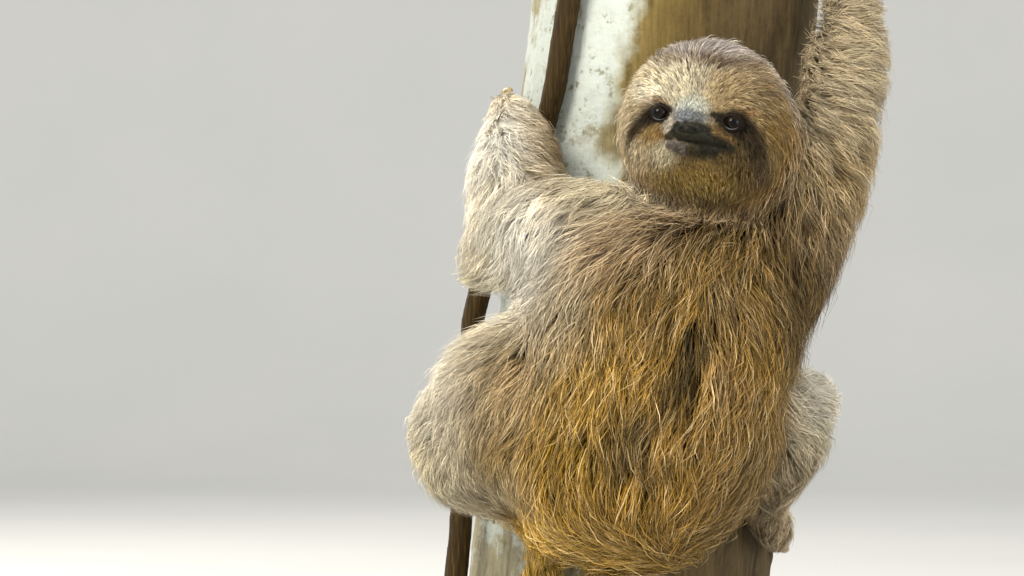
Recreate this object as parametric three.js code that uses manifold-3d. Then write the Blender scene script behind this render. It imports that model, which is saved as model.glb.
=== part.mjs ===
// A young brown-throated three-toed sloth, life size, hugging a cut length of tree trunk on a display stand.
// Its back faces -Y, its belly lies on the bark, and its head is turned right round to look back over it.
// Millimetres, +Z up, origin at the middle of the stand's underside. Left and right are the animal's own:
// it faces +Y, so its left limbs are on the -X side. Every solid of the body reaches the tips of the coat.

import * as THREE from "three";
import { mergeVertices } from "three/addons/utils/BufferGeometryUtils.js";
import Module from "manifold-3d";

const wasm = await Module();
wasm.setup();

// ---------- driving dimensions ----------

const GAP = 0.35; // clear space between touching solids
const DEG = Math.PI / 180;

const BASE = { wide: 300, deep: 280, thick: 18, corner: 26, chamfer: 3 };
const ROD = { radius: 7, spread: 70, y: 52 };
const BARK = {
  bottom: 58, // height of the lower saw cut
  top: 502, // height of the upper saw cut
  radius: 85,
  y: 55, // the trunk's axis lies this far behind the origin
  leanFrom: -34, // x of the axis at the lower cut
  leanTo: 13, // x of the axis at the upper cut
};
const LIANA_RADIUS = 7;

const HEAD = {
  centre: [17, -92, 350],
  halfWide: 50,
  halfDeep: 45,
  halfHigh: 49,
  yaw: -13.5, // turned towards -X
  pitch: -3, // tipped up
  roll: 8, // the -X eye is the higher one
};
const EYE = { radius: 5.2, apart: 41, forward: 35.5, up: 1.8 };
const NOSE = { halfWide: 9.3, halfDeep: 5.5, halfHigh: 6.3, forward: 48.5, down: 6.2 };

// Joints of the skeleton, as the pose holds them.
const SHOULDER = { left: [-48, -84, 292], right: [72, -80, 292] };
const ELBOW = { left: [-94, -74, 282], right: [96, -58, 366] };
const WRIST = { left: [-91, -24, 348], right: [106, -4, 440] };
const HIP = { left: [-60, -84, 190], right: [0, -84, 168] };
const KNEE = { left: [-120, -68, 184], right: [66, -58, 192] };
const ANKLE = { left: [-73, -35, 119], right: [53, -12, 136] };

// ---------- shapes ----------

const vec = (p) => new THREE.Vector3(...p);
const gauss = (distance, reach) => Math.exp(-((distance / reach) ** 2));

// Value of a list of evenly spaced stations at s from 0 to 1, on a smooth curve through them.
function along(values, s) {
  const curve = new THREE.SplineCurve(values.map((v, i) => new THREE.Vector2(i, v)));
  return curve.getPoint(s).y;
}

// One closed body: a ball stretched along a spine. `wide` and `deep` are its half sizes at even stations of
// the spine, `side` is the direction that wide is measured in, and a smaller `blunt` gives fuller ends.
function bentBall(form, grow = 0) {
  const { spine, wide, deep = wide, side = [1, 0, 0], blunt = 0.5, around = 13, rings = 9 } = form;
  const curve = new THREE.CatmullRomCurve3(spine.map(vec), false, "centripetal");
  const ball = new THREE.SphereGeometry(1, around, rings);
  const at = ball.getAttribute("position");
  const p = new THREE.Vector3();
  for (let i = 0; i < at.count; i++) {
    p.fromBufferAttribute(at, i);
    const s = THREE.MathUtils.clamp((1 - p.y) / 2, 0, 1);
    const sine = Math.hypot(p.x, p.z);
    const full = sine > 1e-6 ? sine ** blunt / sine : 0;
    const tangent = curve.getTangentAt(s);
    const across = vec(side).addScaledVector(tangent, -vec(side).dot(tangent)).normalize();
    const depth = tangent.clone().cross(across);
    const centre = curve.getPointAt(s).addScaledVector(tangent, -p.y * grow);
    centre.addScaledVector(across, p.x * full * (along(wide, s) + grow));
    centre.addScaledVector(depth, p.z * full * (along(deep, s) + grow));
    at.setXYZ(i, centre.x, centre.y, centre.z);
  }
  return ball;
}

// A geometry as a closed solid for cutting.
function solid(geometry) {
  const bare = geometry.clone();
  for (const name of Object.keys(bare.attributes)) if (name !== "position") bare.deleteAttribute(name);
  const merged = mergeVertices(bare, 1e-3);
  const vertProperties = new Float32Array(merged.attributes.position.array);
  const triVerts = new Uint32Array(merged.index.array);
  return new wasm.Manifold(new wasm.Mesh({ numProp: 3, vertProperties, triVerts }));
}

// The largest body of a solid, as a geometry: slivers that a cut leaves behind are dropped.
function geometryOf(made) {
  const largest = made.decompose().sort((a, b) => b.volume() - a.volume())[0];
  const { vertProperties, triVerts, numProp } = largest.getMesh();
  const positions = new Float32Array((vertProperties.length / numProp) * 3);
  for (let i = 0; i < positions.length / 3; i++) {
    positions.set(vertProperties.subarray(i * numProp, i * numProp + 3), i * 3);
  }
  const geometry = new THREE.BufferGeometry();
  geometry.setAttribute("position", new THREE.BufferAttribute(positions, 3));
  geometry.setIndex(new THREE.BufferAttribute(new Uint32Array(triVerts), 1));
  geometry.computeVertexNormals();
  return geometry;
}

// A solid less its neighbours. Each neighbour is a function of a growth, so that the cut leaves the gap.
const without = (whole, neighbours) =>
  neighbours.reduce((rest, neighbour) => rest.subtract(solid(neighbour(GAP))), whole);
const cutBy = (shape, ...neighbours) => geometryOf(without(solid(shape(0)), neighbours));

// The two sides of a flat seam through a joint, square to the bend between the points before and after it.
function seam(before, joint, after) {
  const way = (a, b) => vec(b).sub(vec(a)).normalize();
  const normal = way(before, joint).add(way(joint, after)).normalize();
  const offset = normal.dot(vec(joint));
  return {
    before: (whole) => whole.trimByPlane(normal.clone().negate().toArray(), -offset + GAP / 2),
    after: (whole) => whole.trimByPlane(normal.toArray(), offset + GAP / 2),
  };
}

// ---------- perch ----------

// The trunk leans, so its axis moves in x with height.
const barkAxis = (z) =>
  THREE.MathUtils.lerp(BARK.leanFrom, BARK.leanTo, (z - BARK.bottom) / (BARK.top - BARK.bottom));

// Radius of the trunk: two stems grown together leave a long furrow on the front and one at the back.
const FURROW_ANGLE = -110 * DEG;
const BACK_FURROW_ANGLE = 60 * DEG;
function barkRadius(angle, z) {
  const from = (a) => Math.atan2(Math.sin(angle - a), Math.cos(angle - a));
  const furrows = -7 * gauss(from(FURROW_ANGLE), 0.2) - 6 * gauss(from(BACK_FURROW_ANGLE), 0.3);
  const flutes = 1.6 * Math.cos(5 * angle + z / 160) + 1.1 * Math.cos(3 * angle - z / 90);
  const flare = 5 * gauss(z - BARK.bottom, 130);
  return BARK.radius + furrows + flutes + flare;
}

// A point beside the trunk: `off` is its distance from the bark.
const beside = (degrees, off, z) => {
  const angle = degrees * DEG;
  const reach = barkRadius(angle, z) + off;
  return [barkAxis(z) + reach * Math.cos(angle), BARK.y + reach * Math.sin(angle), z];
};

const BARK_SIDES = 28;
const BARK_RINGS = 9;
function barkGeometry(grow = 0) {
  const height = BARK.top - BARK.bottom;
  const post = new THREE.CylinderGeometry(1, 1, height, BARK_SIDES, BARK_RINGS);
  post.rotateX(Math.PI / 2).translate(0, 0, BARK.bottom + height / 2);
  const at = post.getAttribute("position");
  for (let i = 0; i < at.count; i++) {
    const z = at.getZ(i);
    const unit = Math.hypot(at.getX(i), at.getY(i));
    const reach = unit * (barkRadius(Math.atan2(at.getY(i), at.getX(i)), z) + grow);
    const angle = Math.atan2(at.getY(i), at.getX(i));
    at.setXYZ(i, barkAxis(z) + reach * Math.cos(angle), BARK.y + reach * Math.sin(angle), z);
  }
  return post;
}

// A liana that stands on the base, runs up beside the trunk and comes to lie on its bark higher up.
const lianaSpine = [
  [-130, 4, BASE.thick + GAP],
  [-128, 4, 60],
  beside(207, 17, 120),
  beside(202, 19, 190),
  beside(199, 18, 250),
  beside(209, 11, 305),
  beside(221, 8.5, 357),
  beside(226, 8.5, 420),
  beside(231, 8.5, BARK.top - 6),
];
function lianaGeometry(grow = 0) {
  const curve = new THREE.CatmullRomCurve3(lianaSpine.map(vec), false, "centripetal");
  const round = new THREE.Shape().absarc(0, 0, LIANA_RADIUS + grow, 0, Math.PI * 2);
  return new THREE.ExtrudeGeometry(round, { extrudePath: curve, steps: 20, curveSegments: 4 });
}

// ---------- animal ----------

const torso = {
  spine: [
    [16, -66, 332],
    [12, -70, 298],
    [-4, -82, 256],
    [-16, -90, 214],
    [-21, -92, 172],
    [-21, -86, 134],
    [-15, -76, 102],
  ],
  wide: [46, 68, 89, 78, 82, 88, 76],
  deep: [36, 48, 58, 63, 64, 58, 40],
  blunt: 0.6,
  around: 24,
  rings: 14,
};

const neck = {
  spine: [
    [14, -62, 292],
    [24, -66, 322],
    [29, -66, 356],
  ],
  wide: [60, 54, 46],
  deep: [42, 42, 34],
  blunt: 0.5,
  around: 14,
  rings: 5,
};

const tail = {
  spine: [
    [-22, -82, 118],
    [-22, -80, 96],
    [-21, -72, 74],
  ],
  wide: [18, 15, 10],
  deep: [14, 12, 8],
  around: 12,
  rings: 7,
};

// The limbs, joint to joint. Each one's ends run a little past its joints and are cut by the part before it.
const leftUpperArm = {
  spine: [[-20, -84, 296], SHOULDER.left, ELBOW.left, [-123, -68, 261]],
  wide: [34, 36, 36, 30, 16],
  side: [0, 0, 1],
};
const rightUpperArm = {
  spine: [[57, -84, 228], SHOULDER.right, ELBOW.right, [99, -50, 394]],
  wide: [26, 29, 32, 30, 26],
};
const leftForearm = {
  spine: [[-102, -82, 266], [-93, -72, 288], WRIST.left, [-97, -8, 369]],
  wide: [27, 29, 31, 26, 18],
};
const rightForearm = {
  spine: [[94, -74, 350], ELBOW.right, WRIST.right, [107, 8, 454]],
  wide: [24, 30, 24, 20, 16],
};
const leftThigh = {
  spine: [[-30, -88, 186], HIP.left, [-96, -76, 191], [-126, -66, 183], [-151, -56, 165]],
  wide: [54, 62, 59, 37, 16],
  deep: [44, 50, 48, 34, 16],
  side: [0, 0, 1],
};
const rightThigh = {
  spine: [[-10, -84, 160], HIP.right, KNEE.right, [94, -48, 200]],
  wide: [34, 38, 34, 28, 22],
  side: [0, 0, 1],
};
const leftShank = {
  spine: [[-143, -72, 182], [-128, -66, 168], ANKLE.left, [-72, -26, 98]],
  wide: [27, 31, 22, 15, 14],
};
const rightShank = {
  spine: [[76, -66, 206], KNEE.right, ANKLE.right, [52, -2, 120]],
  wide: [24, 33, 27, 20, 15],
};

// Hands and feet lie along the bark. `turn` is the way round the trunk that the digits point.
const HAND_HALF = { wide: [15, 15, 13], deep: [12, 12.5, 9] };
const FOOT_HALF = { wide: [15, 16, 13], deep: [12, 13, 9] };
const leftHand = { grip: [WRIST.left, beside(204, 17, 362), beside(190, 10, 368)], turn: -1 };
const rightHand = { grip: [WRIST.right, beside(-14, 14, 450), beside(0, 10, 457)], turn: 1 };
const leftFoot = { grip: [ANKLE.left, beside(243, 16, 94), beside(233, 11, 80)], turn: -1 };
const rightFoot = { grip: [ANKLE.right, beside(-32, 15, 121), beside(-18, 10, 115)], turn: 1 };

const extremity = ({ grip }, half) => ({
  spine: grip,
  ...half,
  side: [0, 0, 1],
  blunt: 0.5,
  around: 10,
  rings: 7,
});

// A claw arches off the bark and comes back to it at the tip.
const HAND_CLAW = { sweep: 31, arch: 8, radius: 3.7 };
const FOOT_CLAW = { sweep: 26, arch: 6, radius: 3.4 };
const CLAW_PITCH = 8; // height from one claw to the next
function clawShape({ from, z, turn }, { sweep, arch, radius }) {
  const station = (share, off) => beside(from + turn * sweep * share, off, z - 5 * share);
  return {
    spine: [
      station(0, 6.5),
      station(0.3, 4.5 + arch * 0.6),
      station(0.65, 4 + arch * 0.5),
      station(1, 1.6),
    ],
    wide: [radius, radius * 0.95, radius * 0.62, 0.5],
    deep: [radius * 1.2, radius * 1.1, radius * 0.7, 0.5],
    side: [0, 0, 1],
    blunt: 0.45,
    around: 6,
    rings: 6,
  };
}

// The head is a ball whose pole is the tip of the muzzle, so its rings close in on the face.
const MUZZLE = { out: 11, up: -10, reachX: 20, reachZ: 17 };
const SOCKET = { deep: 2.5, reach: 9 };
const FACE_FULLNESS = 0.75; // below 1 the face is flatter than a ball's front
function headShape(grow = 0) {
  const ball = new THREE.SphereGeometry(1, 26, 18);
  const at = ball.getAttribute("position");
  for (let i = 0; i < at.count; i++) {
    const [right, front, up] = [-at.getX(i), at.getY(i), at.getZ(i)];
    const low = THREE.MathUtils.smoothstep(-up, -0.2, 0.8);
    const x = right * HEAD.halfWide * (1 + 0.05 * low);
    const z = up * HEAD.halfHigh * (up > 0 ? 1 : 1.02);
    let forward = front * HEAD.halfDeep * 1.04;
    if (front > 0) {
      forward = front ** FACE_FULLNESS * HEAD.halfDeep * 0.9;
      forward += MUZZLE.out * gauss(x, MUZZLE.reachX) * gauss(z - MUZZLE.up, MUZZLE.reachZ);
      for (const side of [-1, 1]) {
        const away = Math.hypot(x - (side * EYE.apart) / 2, z - EYE.up);
        forward -= SOCKET.deep * gauss(away, SOCKET.reach);
      }
      forward -= 3 * gauss(x, 24) * gauss(z + 38, 10); // the throat falls back under the chin
    }
    at.setXYZ(i, x + right * grow, -(forward + front * grow), z + up * grow);
  }
  return ball;
}

// Puts a shape from the head's own frame, face to -Y, into its place on the neck.
const headTurn = new THREE.Euler(HEAD.pitch * DEG, HEAD.roll * DEG, HEAD.yaw * DEG, "ZXY");
const onHead = (geometry) =>
  geometry.applyMatrix4(
    new THREE.Matrix4().compose(
      vec(HEAD.centre),
      new THREE.Quaternion().setFromEuler(headTurn),
      new THREE.Vector3(1, 1, 1),
    ),
  );

const eyeBall = (side) => (grow) => {
  const ball = new THREE.SphereGeometry(EYE.radius + grow, 12, 8);
  return onHead(ball.translate((side * EYE.apart) / 2, -EYE.forward, EYE.up));
};
const nosePad = (grow) => {
  const pad = new THREE.SphereGeometry(1, 14, 8);
  pad.scale(NOSE.halfWide + grow, NOSE.halfDeep + grow, NOSE.halfHigh + grow);
  const at = pad.getAttribute("position");
  for (let i = 0; i < at.count; i++) {
    at.setX(i, at.getX(i) * (1 + 0.18 * Math.sign(at.getZ(i)) * Math.abs(at.getZ(i) / NOSE.halfHigh)));
  }
  return onHead(pad.translate(0, -NOSE.forward, -NOSE.down));
};
const head = (grow) => onHead(headShape(grow));

// ---------- stand ----------

function baseGeometry() {
  const { wide, deep, thick, corner, chamfer } = BASE;
  const [x, y] = [wide / 2 - chamfer, deep / 2 - chamfer];
  const outline = new THREE.Shape();
  outline.moveTo(-x + corner, -y);
  outline.lineTo(x - corner, -y);
  outline.absarc(x - corner, -y + corner, corner, -Math.PI / 2, 0);
  outline.lineTo(x, y - corner);
  outline.absarc(x - corner, y - corner, corner, 0, Math.PI / 2);
  outline.lineTo(-x + corner, y);
  outline.absarc(-x + corner, y - corner, corner, Math.PI / 2, Math.PI);
  outline.lineTo(-x, -y + corner);
  outline.absarc(-x + corner, -y + corner, corner, Math.PI, Math.PI * 1.5);
  return new THREE.ExtrudeGeometry(outline, {
    depth: thick - 2 * chamfer,
    bevelThickness: chamfer,
    bevelSize: chamfer,
    bevelSegments: 1,
    curveSegments: 4,
  }).translate(0, 0, chamfer);
}

function rodGeometry(side) {
  const height = BARK.bottom - BASE.thick - 2 * GAP;
  return new THREE.CylinderGeometry(ROD.radius, ROD.radius, height, 18)
    .rotateX(Math.PI / 2)
    .translate(BARK.leanFrom + (side * ROD.spread) / 2, ROD.y, BASE.thick + GAP + height / 2);
}

// ---------- assembly ----------

const finish = (color, roughness, metalness = 0) =>
  new THREE.MeshStandardMaterial({ color, roughness, metalness });
const COAT = finish(0xa18f71, 0.95);
const BACK_COAT = finish(0x7c6238, 0.95);
const FACE_COAT = finish(0xb5a583, 0.95);
const NOSE_SKIN = finish(0x2b2a22, 0.5);
const EYE_WET = finish(0x17120e, 0.08);
const HORN = finish(0xa8946c, 0.45);
const BARK_WOOD = finish(0x6f6350, 0.95);
const LIANA_WOOD = finish(0x534426, 0.85);
const BASE_WOOD = finish(0x3b2a1c, 0.5);
const STEEL = finish(0x8d9093, 0.35, 1);

const sloth = new THREE.Group();
function place(name, geometry, material) {
  const mesh = new THREE.Mesh(geometry, material);
  mesh.name = name;
  sloth.add(mesh);
}
const shape = (form) => (grow) => bentBall(form, grow);

const bark = barkGeometry;
const liana = lianaGeometry;
const trunkOfBody = shape(torso);
const neckOfBody = shape(neck);

place("stand_base", baseGeometry(), BASE_WOOD);
place("stand_rod_1", rodGeometry(-1), STEEL);
place("stand_rod_2", rodGeometry(1), STEEL);
place("perch_trunk", bark(), BARK_WOOD);
place("perch_liana", cutBy(liana, bark), LIANA_WOOD);

place("eye_left", eyeBall(-1)(0), EYE_WET);
place("eye_right", eyeBall(1)(0), EYE_WET);
place("nose", nosePad(0), NOSE_SKIN);
place("head", cutBy(head, eyeBall(-1), eyeBall(1), nosePad), FACE_COAT);
place("torso", cutBy(trunkOfBody, bark, head), BACK_COAT);
place("neck", cutBy(neckOfBody, bark, head, trunkOfBody), BACK_COAT);
place("tail", cutBy(shape(tail), bark, trunkOfBody), BACK_COAT);

// One limb, from the body out: three lengths in one, parted by flat seams at its two joints, then the claws.
function placeLimb(side, names, joints, forms, last, claw, ...near) {
  const [upper, lower, end] = names.map((name) => `${name}_${side}`);
  const knuckle = last.grip.at(-1);
  const from = Math.atan2(knuckle[1] - BARK.y, knuckle[0] - barkAxis(knuckle[2])) / DEG;
  const claws = [-1, 0, 1].map((row) =>
    shape(clawShape({ from, z: knuckle[2] + row * CLAW_PITCH, turn: last.turn }, claw)),
  );
  const whole = without(wasm.Manifold.union(forms.map((form) => solid(bentBall(form)))), [
    bark,
    liana,
    trunkOfBody,
    head,
    neckOfBody,
    ...claws,
    ...near,
  ]);
  const [root, middle, outer] = joints.map((joint) => joint[side]);
  const bend = seam(root, middle, outer);
  const wrist = seam(middle, outer, last.grip[1]);
  place(upper, geometryOf(bend.before(whole)), COAT);
  place(lower, geometryOf(wrist.before(bend.after(whole))), COAT);
  place(end, geometryOf(wrist.after(bend.after(whole))), COAT);
  claws.forEach((one, i) => place(`${end}_claw_${i + 1}`, cutBy(one, bark, liana), HORN));
}
const ARM = ["upper_arm", "forearm", "hand"];
const LEG = ["thigh", "shank", "foot"];
const ARM_JOINTS = [SHOULDER, ELBOW, WRIST];
const LEG_JOINTS = [HIP, KNEE, ANKLE];
const hand = (grip) => extremity(grip, HAND_HALF);
const foot = (grip) => extremity(grip, FOOT_HALF);
placeLimb("left", ARM, ARM_JOINTS, [leftUpperArm, leftForearm, hand(leftHand)], leftHand, HAND_CLAW);
placeLimb("right", ARM, ARM_JOINTS, [rightUpperArm, rightForearm, hand(rightHand)], rightHand, HAND_CLAW);
const leftLeg = [leftThigh, leftShank, foot(leftFoot)];
placeLimb("left", LEG, LEG_JOINTS, leftLeg, leftFoot, FOOT_CLAW, shape(leftUpperArm));
placeLimb("right", LEG, LEG_JOINTS, [rightThigh, rightShank, foot(rightFoot)], rightFoot, FOOT_CLAW);

export default sloth;
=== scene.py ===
"""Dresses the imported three-toed sloth: one skin, the face, the long coat in locks of hair,
the bark of its perch and the finishes of the stand. Sizes here are millimetres until a mesh is made."""

import math
from contextlib import contextmanager

import bpy
import numpy as np
from mathutils import Matrix, Vector, noise
from mathutils.bvhtree import BVHTree


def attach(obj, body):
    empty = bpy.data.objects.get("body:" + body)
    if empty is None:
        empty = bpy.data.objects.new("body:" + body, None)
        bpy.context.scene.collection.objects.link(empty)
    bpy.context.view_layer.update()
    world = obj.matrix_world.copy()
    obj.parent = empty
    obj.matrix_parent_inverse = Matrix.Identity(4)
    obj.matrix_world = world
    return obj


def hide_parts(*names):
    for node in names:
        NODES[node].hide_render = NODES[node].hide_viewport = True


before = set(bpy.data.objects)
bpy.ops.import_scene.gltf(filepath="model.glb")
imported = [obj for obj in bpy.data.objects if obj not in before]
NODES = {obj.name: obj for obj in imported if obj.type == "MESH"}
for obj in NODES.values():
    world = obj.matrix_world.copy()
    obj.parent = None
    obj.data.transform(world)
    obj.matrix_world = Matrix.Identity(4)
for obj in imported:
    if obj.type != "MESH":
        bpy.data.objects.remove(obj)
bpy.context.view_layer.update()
MM = 0.001
CELL = {"skin": 0.0027, "nose": 0.0006, "bark": 0.0026, "liana": 0.0014}  # of a remesh, in metres
SIDES = ("left", "right")

# The animal's parts, and the group whose comb strokes each part's hair follows.
LIMB_GROUPS = {
    "upper_arm": "ARM", "forearm": "ARM", "hand": "ARM",
    "thigh": "LEG", "shank": "LEG", "foot": "LEG",
}
GROUP_OF = {"head": "HEAD", "torso": "BODY", "neck": "BODY", "tail": "BODY"}
for side in SIDES:
    for limb, group in LIMB_GROUPS.items():
        GROUP_OF[f"{limb}_{side}"] = f"{group}_{side[0].upper()}"
FLESH = list(GROUP_OF)

# Depth of the coat between the skin and the tips, and length of its hairs, by part.
COAT_DEPTH = {
    "torso": 14, "neck": 12, "tail": 5, "upper_arm": 10, "forearm": 9, "hand": 3.5,
    "thigh": 11, "shank": 8, "foot": 3.5, "head": 8,
}
HAIR_LENGTH = {
    "torso": 38, "neck": 30, "tail": 14, "upper_arm": 32, "forearm": 28, "hand": 15,
    "thigh": 34, "shank": 26, "foot": 12, "head": 17,
}

# Where the head sits, and its own frame: right, forward and up from its centre.
HEAD_CENTRE = np.array([17.0, -92.0, 350.0])
HEAD_YAW, HEAD_PITCH, HEAD_ROLL = -13.5, -3.0, 8.0
HEAD_TURN = np.array(
    Matrix.Rotation(math.radians(HEAD_YAW), 3, "Z")
    @ Matrix.Rotation(math.radians(HEAD_PITCH), 3, "X")
    @ Matrix.Rotation(math.radians(HEAD_ROLL), 3, "Y")
)
EYE_PLACE = {-1: -20.0, 1: 21.3}  # across the head, left and right
EYE_FORWARD, EYE_UP, EYE_RADIUS = 35.5, 0.9, 5.2
NOSE_UP, NOSE_WIDE, NOSE_HIGH, NOSTRIL_SIDE = -7.2, 9.3, 3.3, 3.6
EYE_OPEN_WIDE, EYE_OPEN_HIGH = 4.3, 3.7  # half sizes of the opening between the lids
MOUTH_RIGHT, MOUTH_WIDE, MOUTH_UP, MOUTH_SMILE = 3.5, 17.5, -13.2, 0.0006

# The trunk that the animal holds: the centre of its bark at a height.
BARK_BOTTOM, BARK_TOP, BARK_RADIUS, BARK_Y = 58.0, 502.0, 85.0, 55.0
BARK_LEAN_FROM, BARK_LEAN_TO = -34.0, 13.0


def to_head(points):
    """Points in the head's own frame: right, forward, up."""
    local = (points - HEAD_CENTRE) @ HEAD_TURN
    return local * np.array([1.0, -1.0, 1.0])


def from_head(local):
    """Points or rows of the head's own frame, back in the part's frame."""
    return HEAD_CENTRE + (np.asarray(local, float) * np.array([1.0, -1.0, 1.0])) @ HEAD_TURN.T


def smoothstep(value, low, high):
    """0 below low and 1 above high, with a soft rise between them."""
    t = np.clip((value - low) / (high - low), 0, 1)
    return t * t * (3 - 2 * t)


def bell(value, reach):
    """1 at zero, fading out within about twice the reach."""
    return np.exp(-((value / reach) ** 2))


def unit(rows):
    """Each row made one long."""
    return rows / np.maximum(np.linalg.norm(rows, axis=-1, keepdims=True), 1e-9)


def bark_axis(z):
    """Centre line of the trunk at each height, as rows of x, y."""
    t = (np.asarray(z, float) - BARK_BOTTOM) / (BARK_TOP - BARK_BOTTOM)
    x = BARK_LEAN_FROM + t * (BARK_LEAN_TO - BARK_LEAN_FROM)
    return np.stack([x, np.full_like(x, BARK_Y)], -1)


# ---------- materials ----------


def linear(code):
    """An sRGB hex colour as linear numbers, with an alpha of 1."""
    values = [int(code[i : i + 2], 16) / 255 for i in (1, 3, 5)]
    return tuple(c / 12.92 if c <= 0.04045 else ((c + 0.055) / 1.055) ** 2.4 for c in values) + (1.0,)


def output_of(source):
    """A node's own output, the first that is in use. A socket stays as it is."""
    if isinstance(source, bpy.types.Node):
        return next(socket for socket in source.outputs if socket.enabled)
    return source


def add(tree, kind, settings=None, **inputs):
    """Adds a shader node. Settings go on the node. Inputs are values, colours, or nodes and sockets to
    link from. They go by name, or by number as in i0 where names repeat."""
    made = tree.nodes.new("ShaderNode" + kind)
    for key, value in (settings or {}).items():
        setattr(made, key, value)
    for key, value in inputs.items():
        name = key.replace("_", " ")
        socket = made.inputs[int(key[1:])] if key[0] == "i" and key[1:].isdigit() else made.inputs[name]
        if isinstance(value, (bpy.types.Node, bpy.types.NodeSocket)):
            tree.links.new(output_of(value), socket)
        else:
            socket.default_value = linear(value) if isinstance(value, str) else value
    return made


def rgb(code):
    """An sRGB hex colour as a row of three linear numbers."""
    return np.array(linear(code)[:3])


def material(name, **surface):
    """A new material, its node tree, its surface and the place on the piece, in metres, that its
    patterns read. The surface's own sockets get the constants given."""
    made = bpy.data.materials.new(name)
    made.use_nodes = True
    tree = made.node_tree
    shader = tree.nodes["Principled BSDF"]
    for key, value in surface.items():
        shader.inputs[key.replace("_", " ")].default_value = value
    return made, tree, shader, add(tree, "TexCoord").outputs["Object"]


def wire(tree, source, shader, socket):
    """Links a node to a socket of the surface."""
    tree.links.new(output_of(source), shader.inputs[socket])


def stored(tree, name, out="Fac"):
    """A value that each point of the piece carries, or a colour."""
    return add(tree, "Attribute", {"attribute_name": name}).outputs[out]


def ramp(tree, source, *stops):
    """A tone for each level of a source. Every stop is a level with a hex colour or a grey."""
    made = add(tree, "ValToRGB", Fac=source)
    elements = made.color_ramp.elements
    while len(elements) < len(stops):
        elements.new(0.5)
    for element, (level, tone) in zip(elements, stops):
        element.position = level
        element.color = linear(tone) if isinstance(tone, str) else (tone, tone, tone, 1.0)
    return made


def map_range(tree, source, low, high, to_low=0.0, to_high=1.0):
    """Brings what a source says between low and high to another range, and holds it there."""
    return add(tree, "MapRange", Value=source, i1=low, i2=high, i3=to_low, i4=to_high)


def emboss(tree, shader, height, strength, distance, invert=False):
    """Raises the surface by a pattern, as bump that is a distance in metres deep."""
    bump = add(tree, "Bump", {"invert": invert}, Strength=strength, Distance=distance, Height=height)
    wire(tree, bump, shader, "Normal")


def blend(tree, share, low, high):
    """A mix of two colours: low where the share is 0, high where it is 1."""
    return add(tree, "Mix", {"data_type": "RGBA"}, i0=share, i6=low, i7=high)


def multiply(tree, colour, tint):
    """A colour times another one, which may go past white."""
    return add(tree, "Mix", {"data_type": "RGBA", "blend_type": "MULTIPLY", "clamp_result": False},
               i0=1.0, i6=colour, i7=tint)


def scaled(tree, colour, level):
    """A colour made lighter or darker by a level."""
    return add(tree, "VectorMath", {"operation": "SCALE"}, i0=colour, Scale=level)


def guard_hair_material():
    """Sloth guard hair: long, coarse, cracked keratin with dry tips. It scatters light softly, shows
    no sheen band, is painted darker at the root as the shade deep in the coat, and is pale at the worn
    tip."""
    made, tree, shader, place = material("sloth_guard_hair", Roughness=0.62, Specular_IOR_Level=0.28)
    coat = stored(tree, "coat", "Color")
    along = stored(tree, "along")
    # Along each hair the colour is painted darker at the root, as the shade deep in the coat, and paler
    # at the worn tip; pale fur gets less of this painted root shade.
    dark_fur_shade_and_wear = ramp(tree, along, (0.0, 0.32), (0.35, 0.8), (0.75, 1.2), (1.0, 1.5))
    pale_fur_shade_and_wear = ramp(tree, along, (0.0, 0.74), (0.35, 0.94), (0.75, 1.03), (1.0, 1.08))
    light = add(tree, "RGBToBW", Color=coat)
    pale = map_range(tree, light, 0.36, 0.75)
    root_shade_and_wear = blend(tree, pale, dark_fur_shade_and_wear, pale_fur_shade_and_wear)
    # The coat colour times the painted root shade and the tip wear.
    worn = multiply(tree, coat, root_shade_and_wear)
    # Single hairs differ in tone every 2 mm or so.
    tone = add(tree, "TexNoise", Vector=place, Scale=420.0, Detail=2.0)
    level = map_range(tree, tone, 0.3, 0.7, 0.82, 1.16)
    toned = scaled(tree, worn, level)
    # Roots are richer in colour, worn tips are bleached.
    rich = map_range(tree, along, 0.0, 1.0, 1.22, 0.88)
    bleached = add(tree, "HueSaturation", Saturation=rich, Color=toned)
    wire(tree, bleached, shader, "Base Color")
    return made


def hide_material():
    """Haired skin: the same markings as the coat, darker where the underfur shades it, with the
    fine ridges of short flat hair as bump."""
    made, tree, shader, place = material("sloth_hide", Roughness=0.7, Specular_IOR_Level=0.25)
    coat = stored(tree, "coat", "Color")
    shade = stored(tree, "underfur")
    # Short hairs lie about 0.5 mm apart.
    hairs = add(tree, "TexNoise", Vector=place, Scale=900.0, Detail=3.0, Roughness=0.65)
    level = map_range(tree, hairs, 0.3, 0.7, 0.72, 1.12)
    deep = add(tree, "Math", {"operation": "MULTIPLY"}, i0=shade, i1=level)
    final = scaled(tree, coat, deep)
    wire(tree, final, shader, "Base Color")
    emboss(tree, shader, hairs, 0.6, 0.0006)
    return made


def bare_skin_material():
    """Bare skin of the lids: dark, thin and slightly damp, with fine creases and a pale grey edge
    below the eye that is a painted reflection of light off the wet rim of the lower lid."""
    made, tree, shader, place = material("bare_skin", Specular_IOR_Level=0.08, Roughness=0.6)
    creases = add(tree, "TexNoise", Vector=place, Scale=1100.0, Detail=3.0)
    tone = ramp(tree, creases, (0.3, "#15110c"), (0.7, "#241c13"))
    # The pale grey edge is a painted reflection off the wet lower lid.
    painted_rim_reflection = stored(tree, "painted_rim_reflection")
    edge = blend(tree, painted_rim_reflection, tone, "#7b8084")
    wire(tree, edge, shader, "Base Color")
    emboss(tree, shader, creases, 0.4, 0.0003)
    return made


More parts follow.
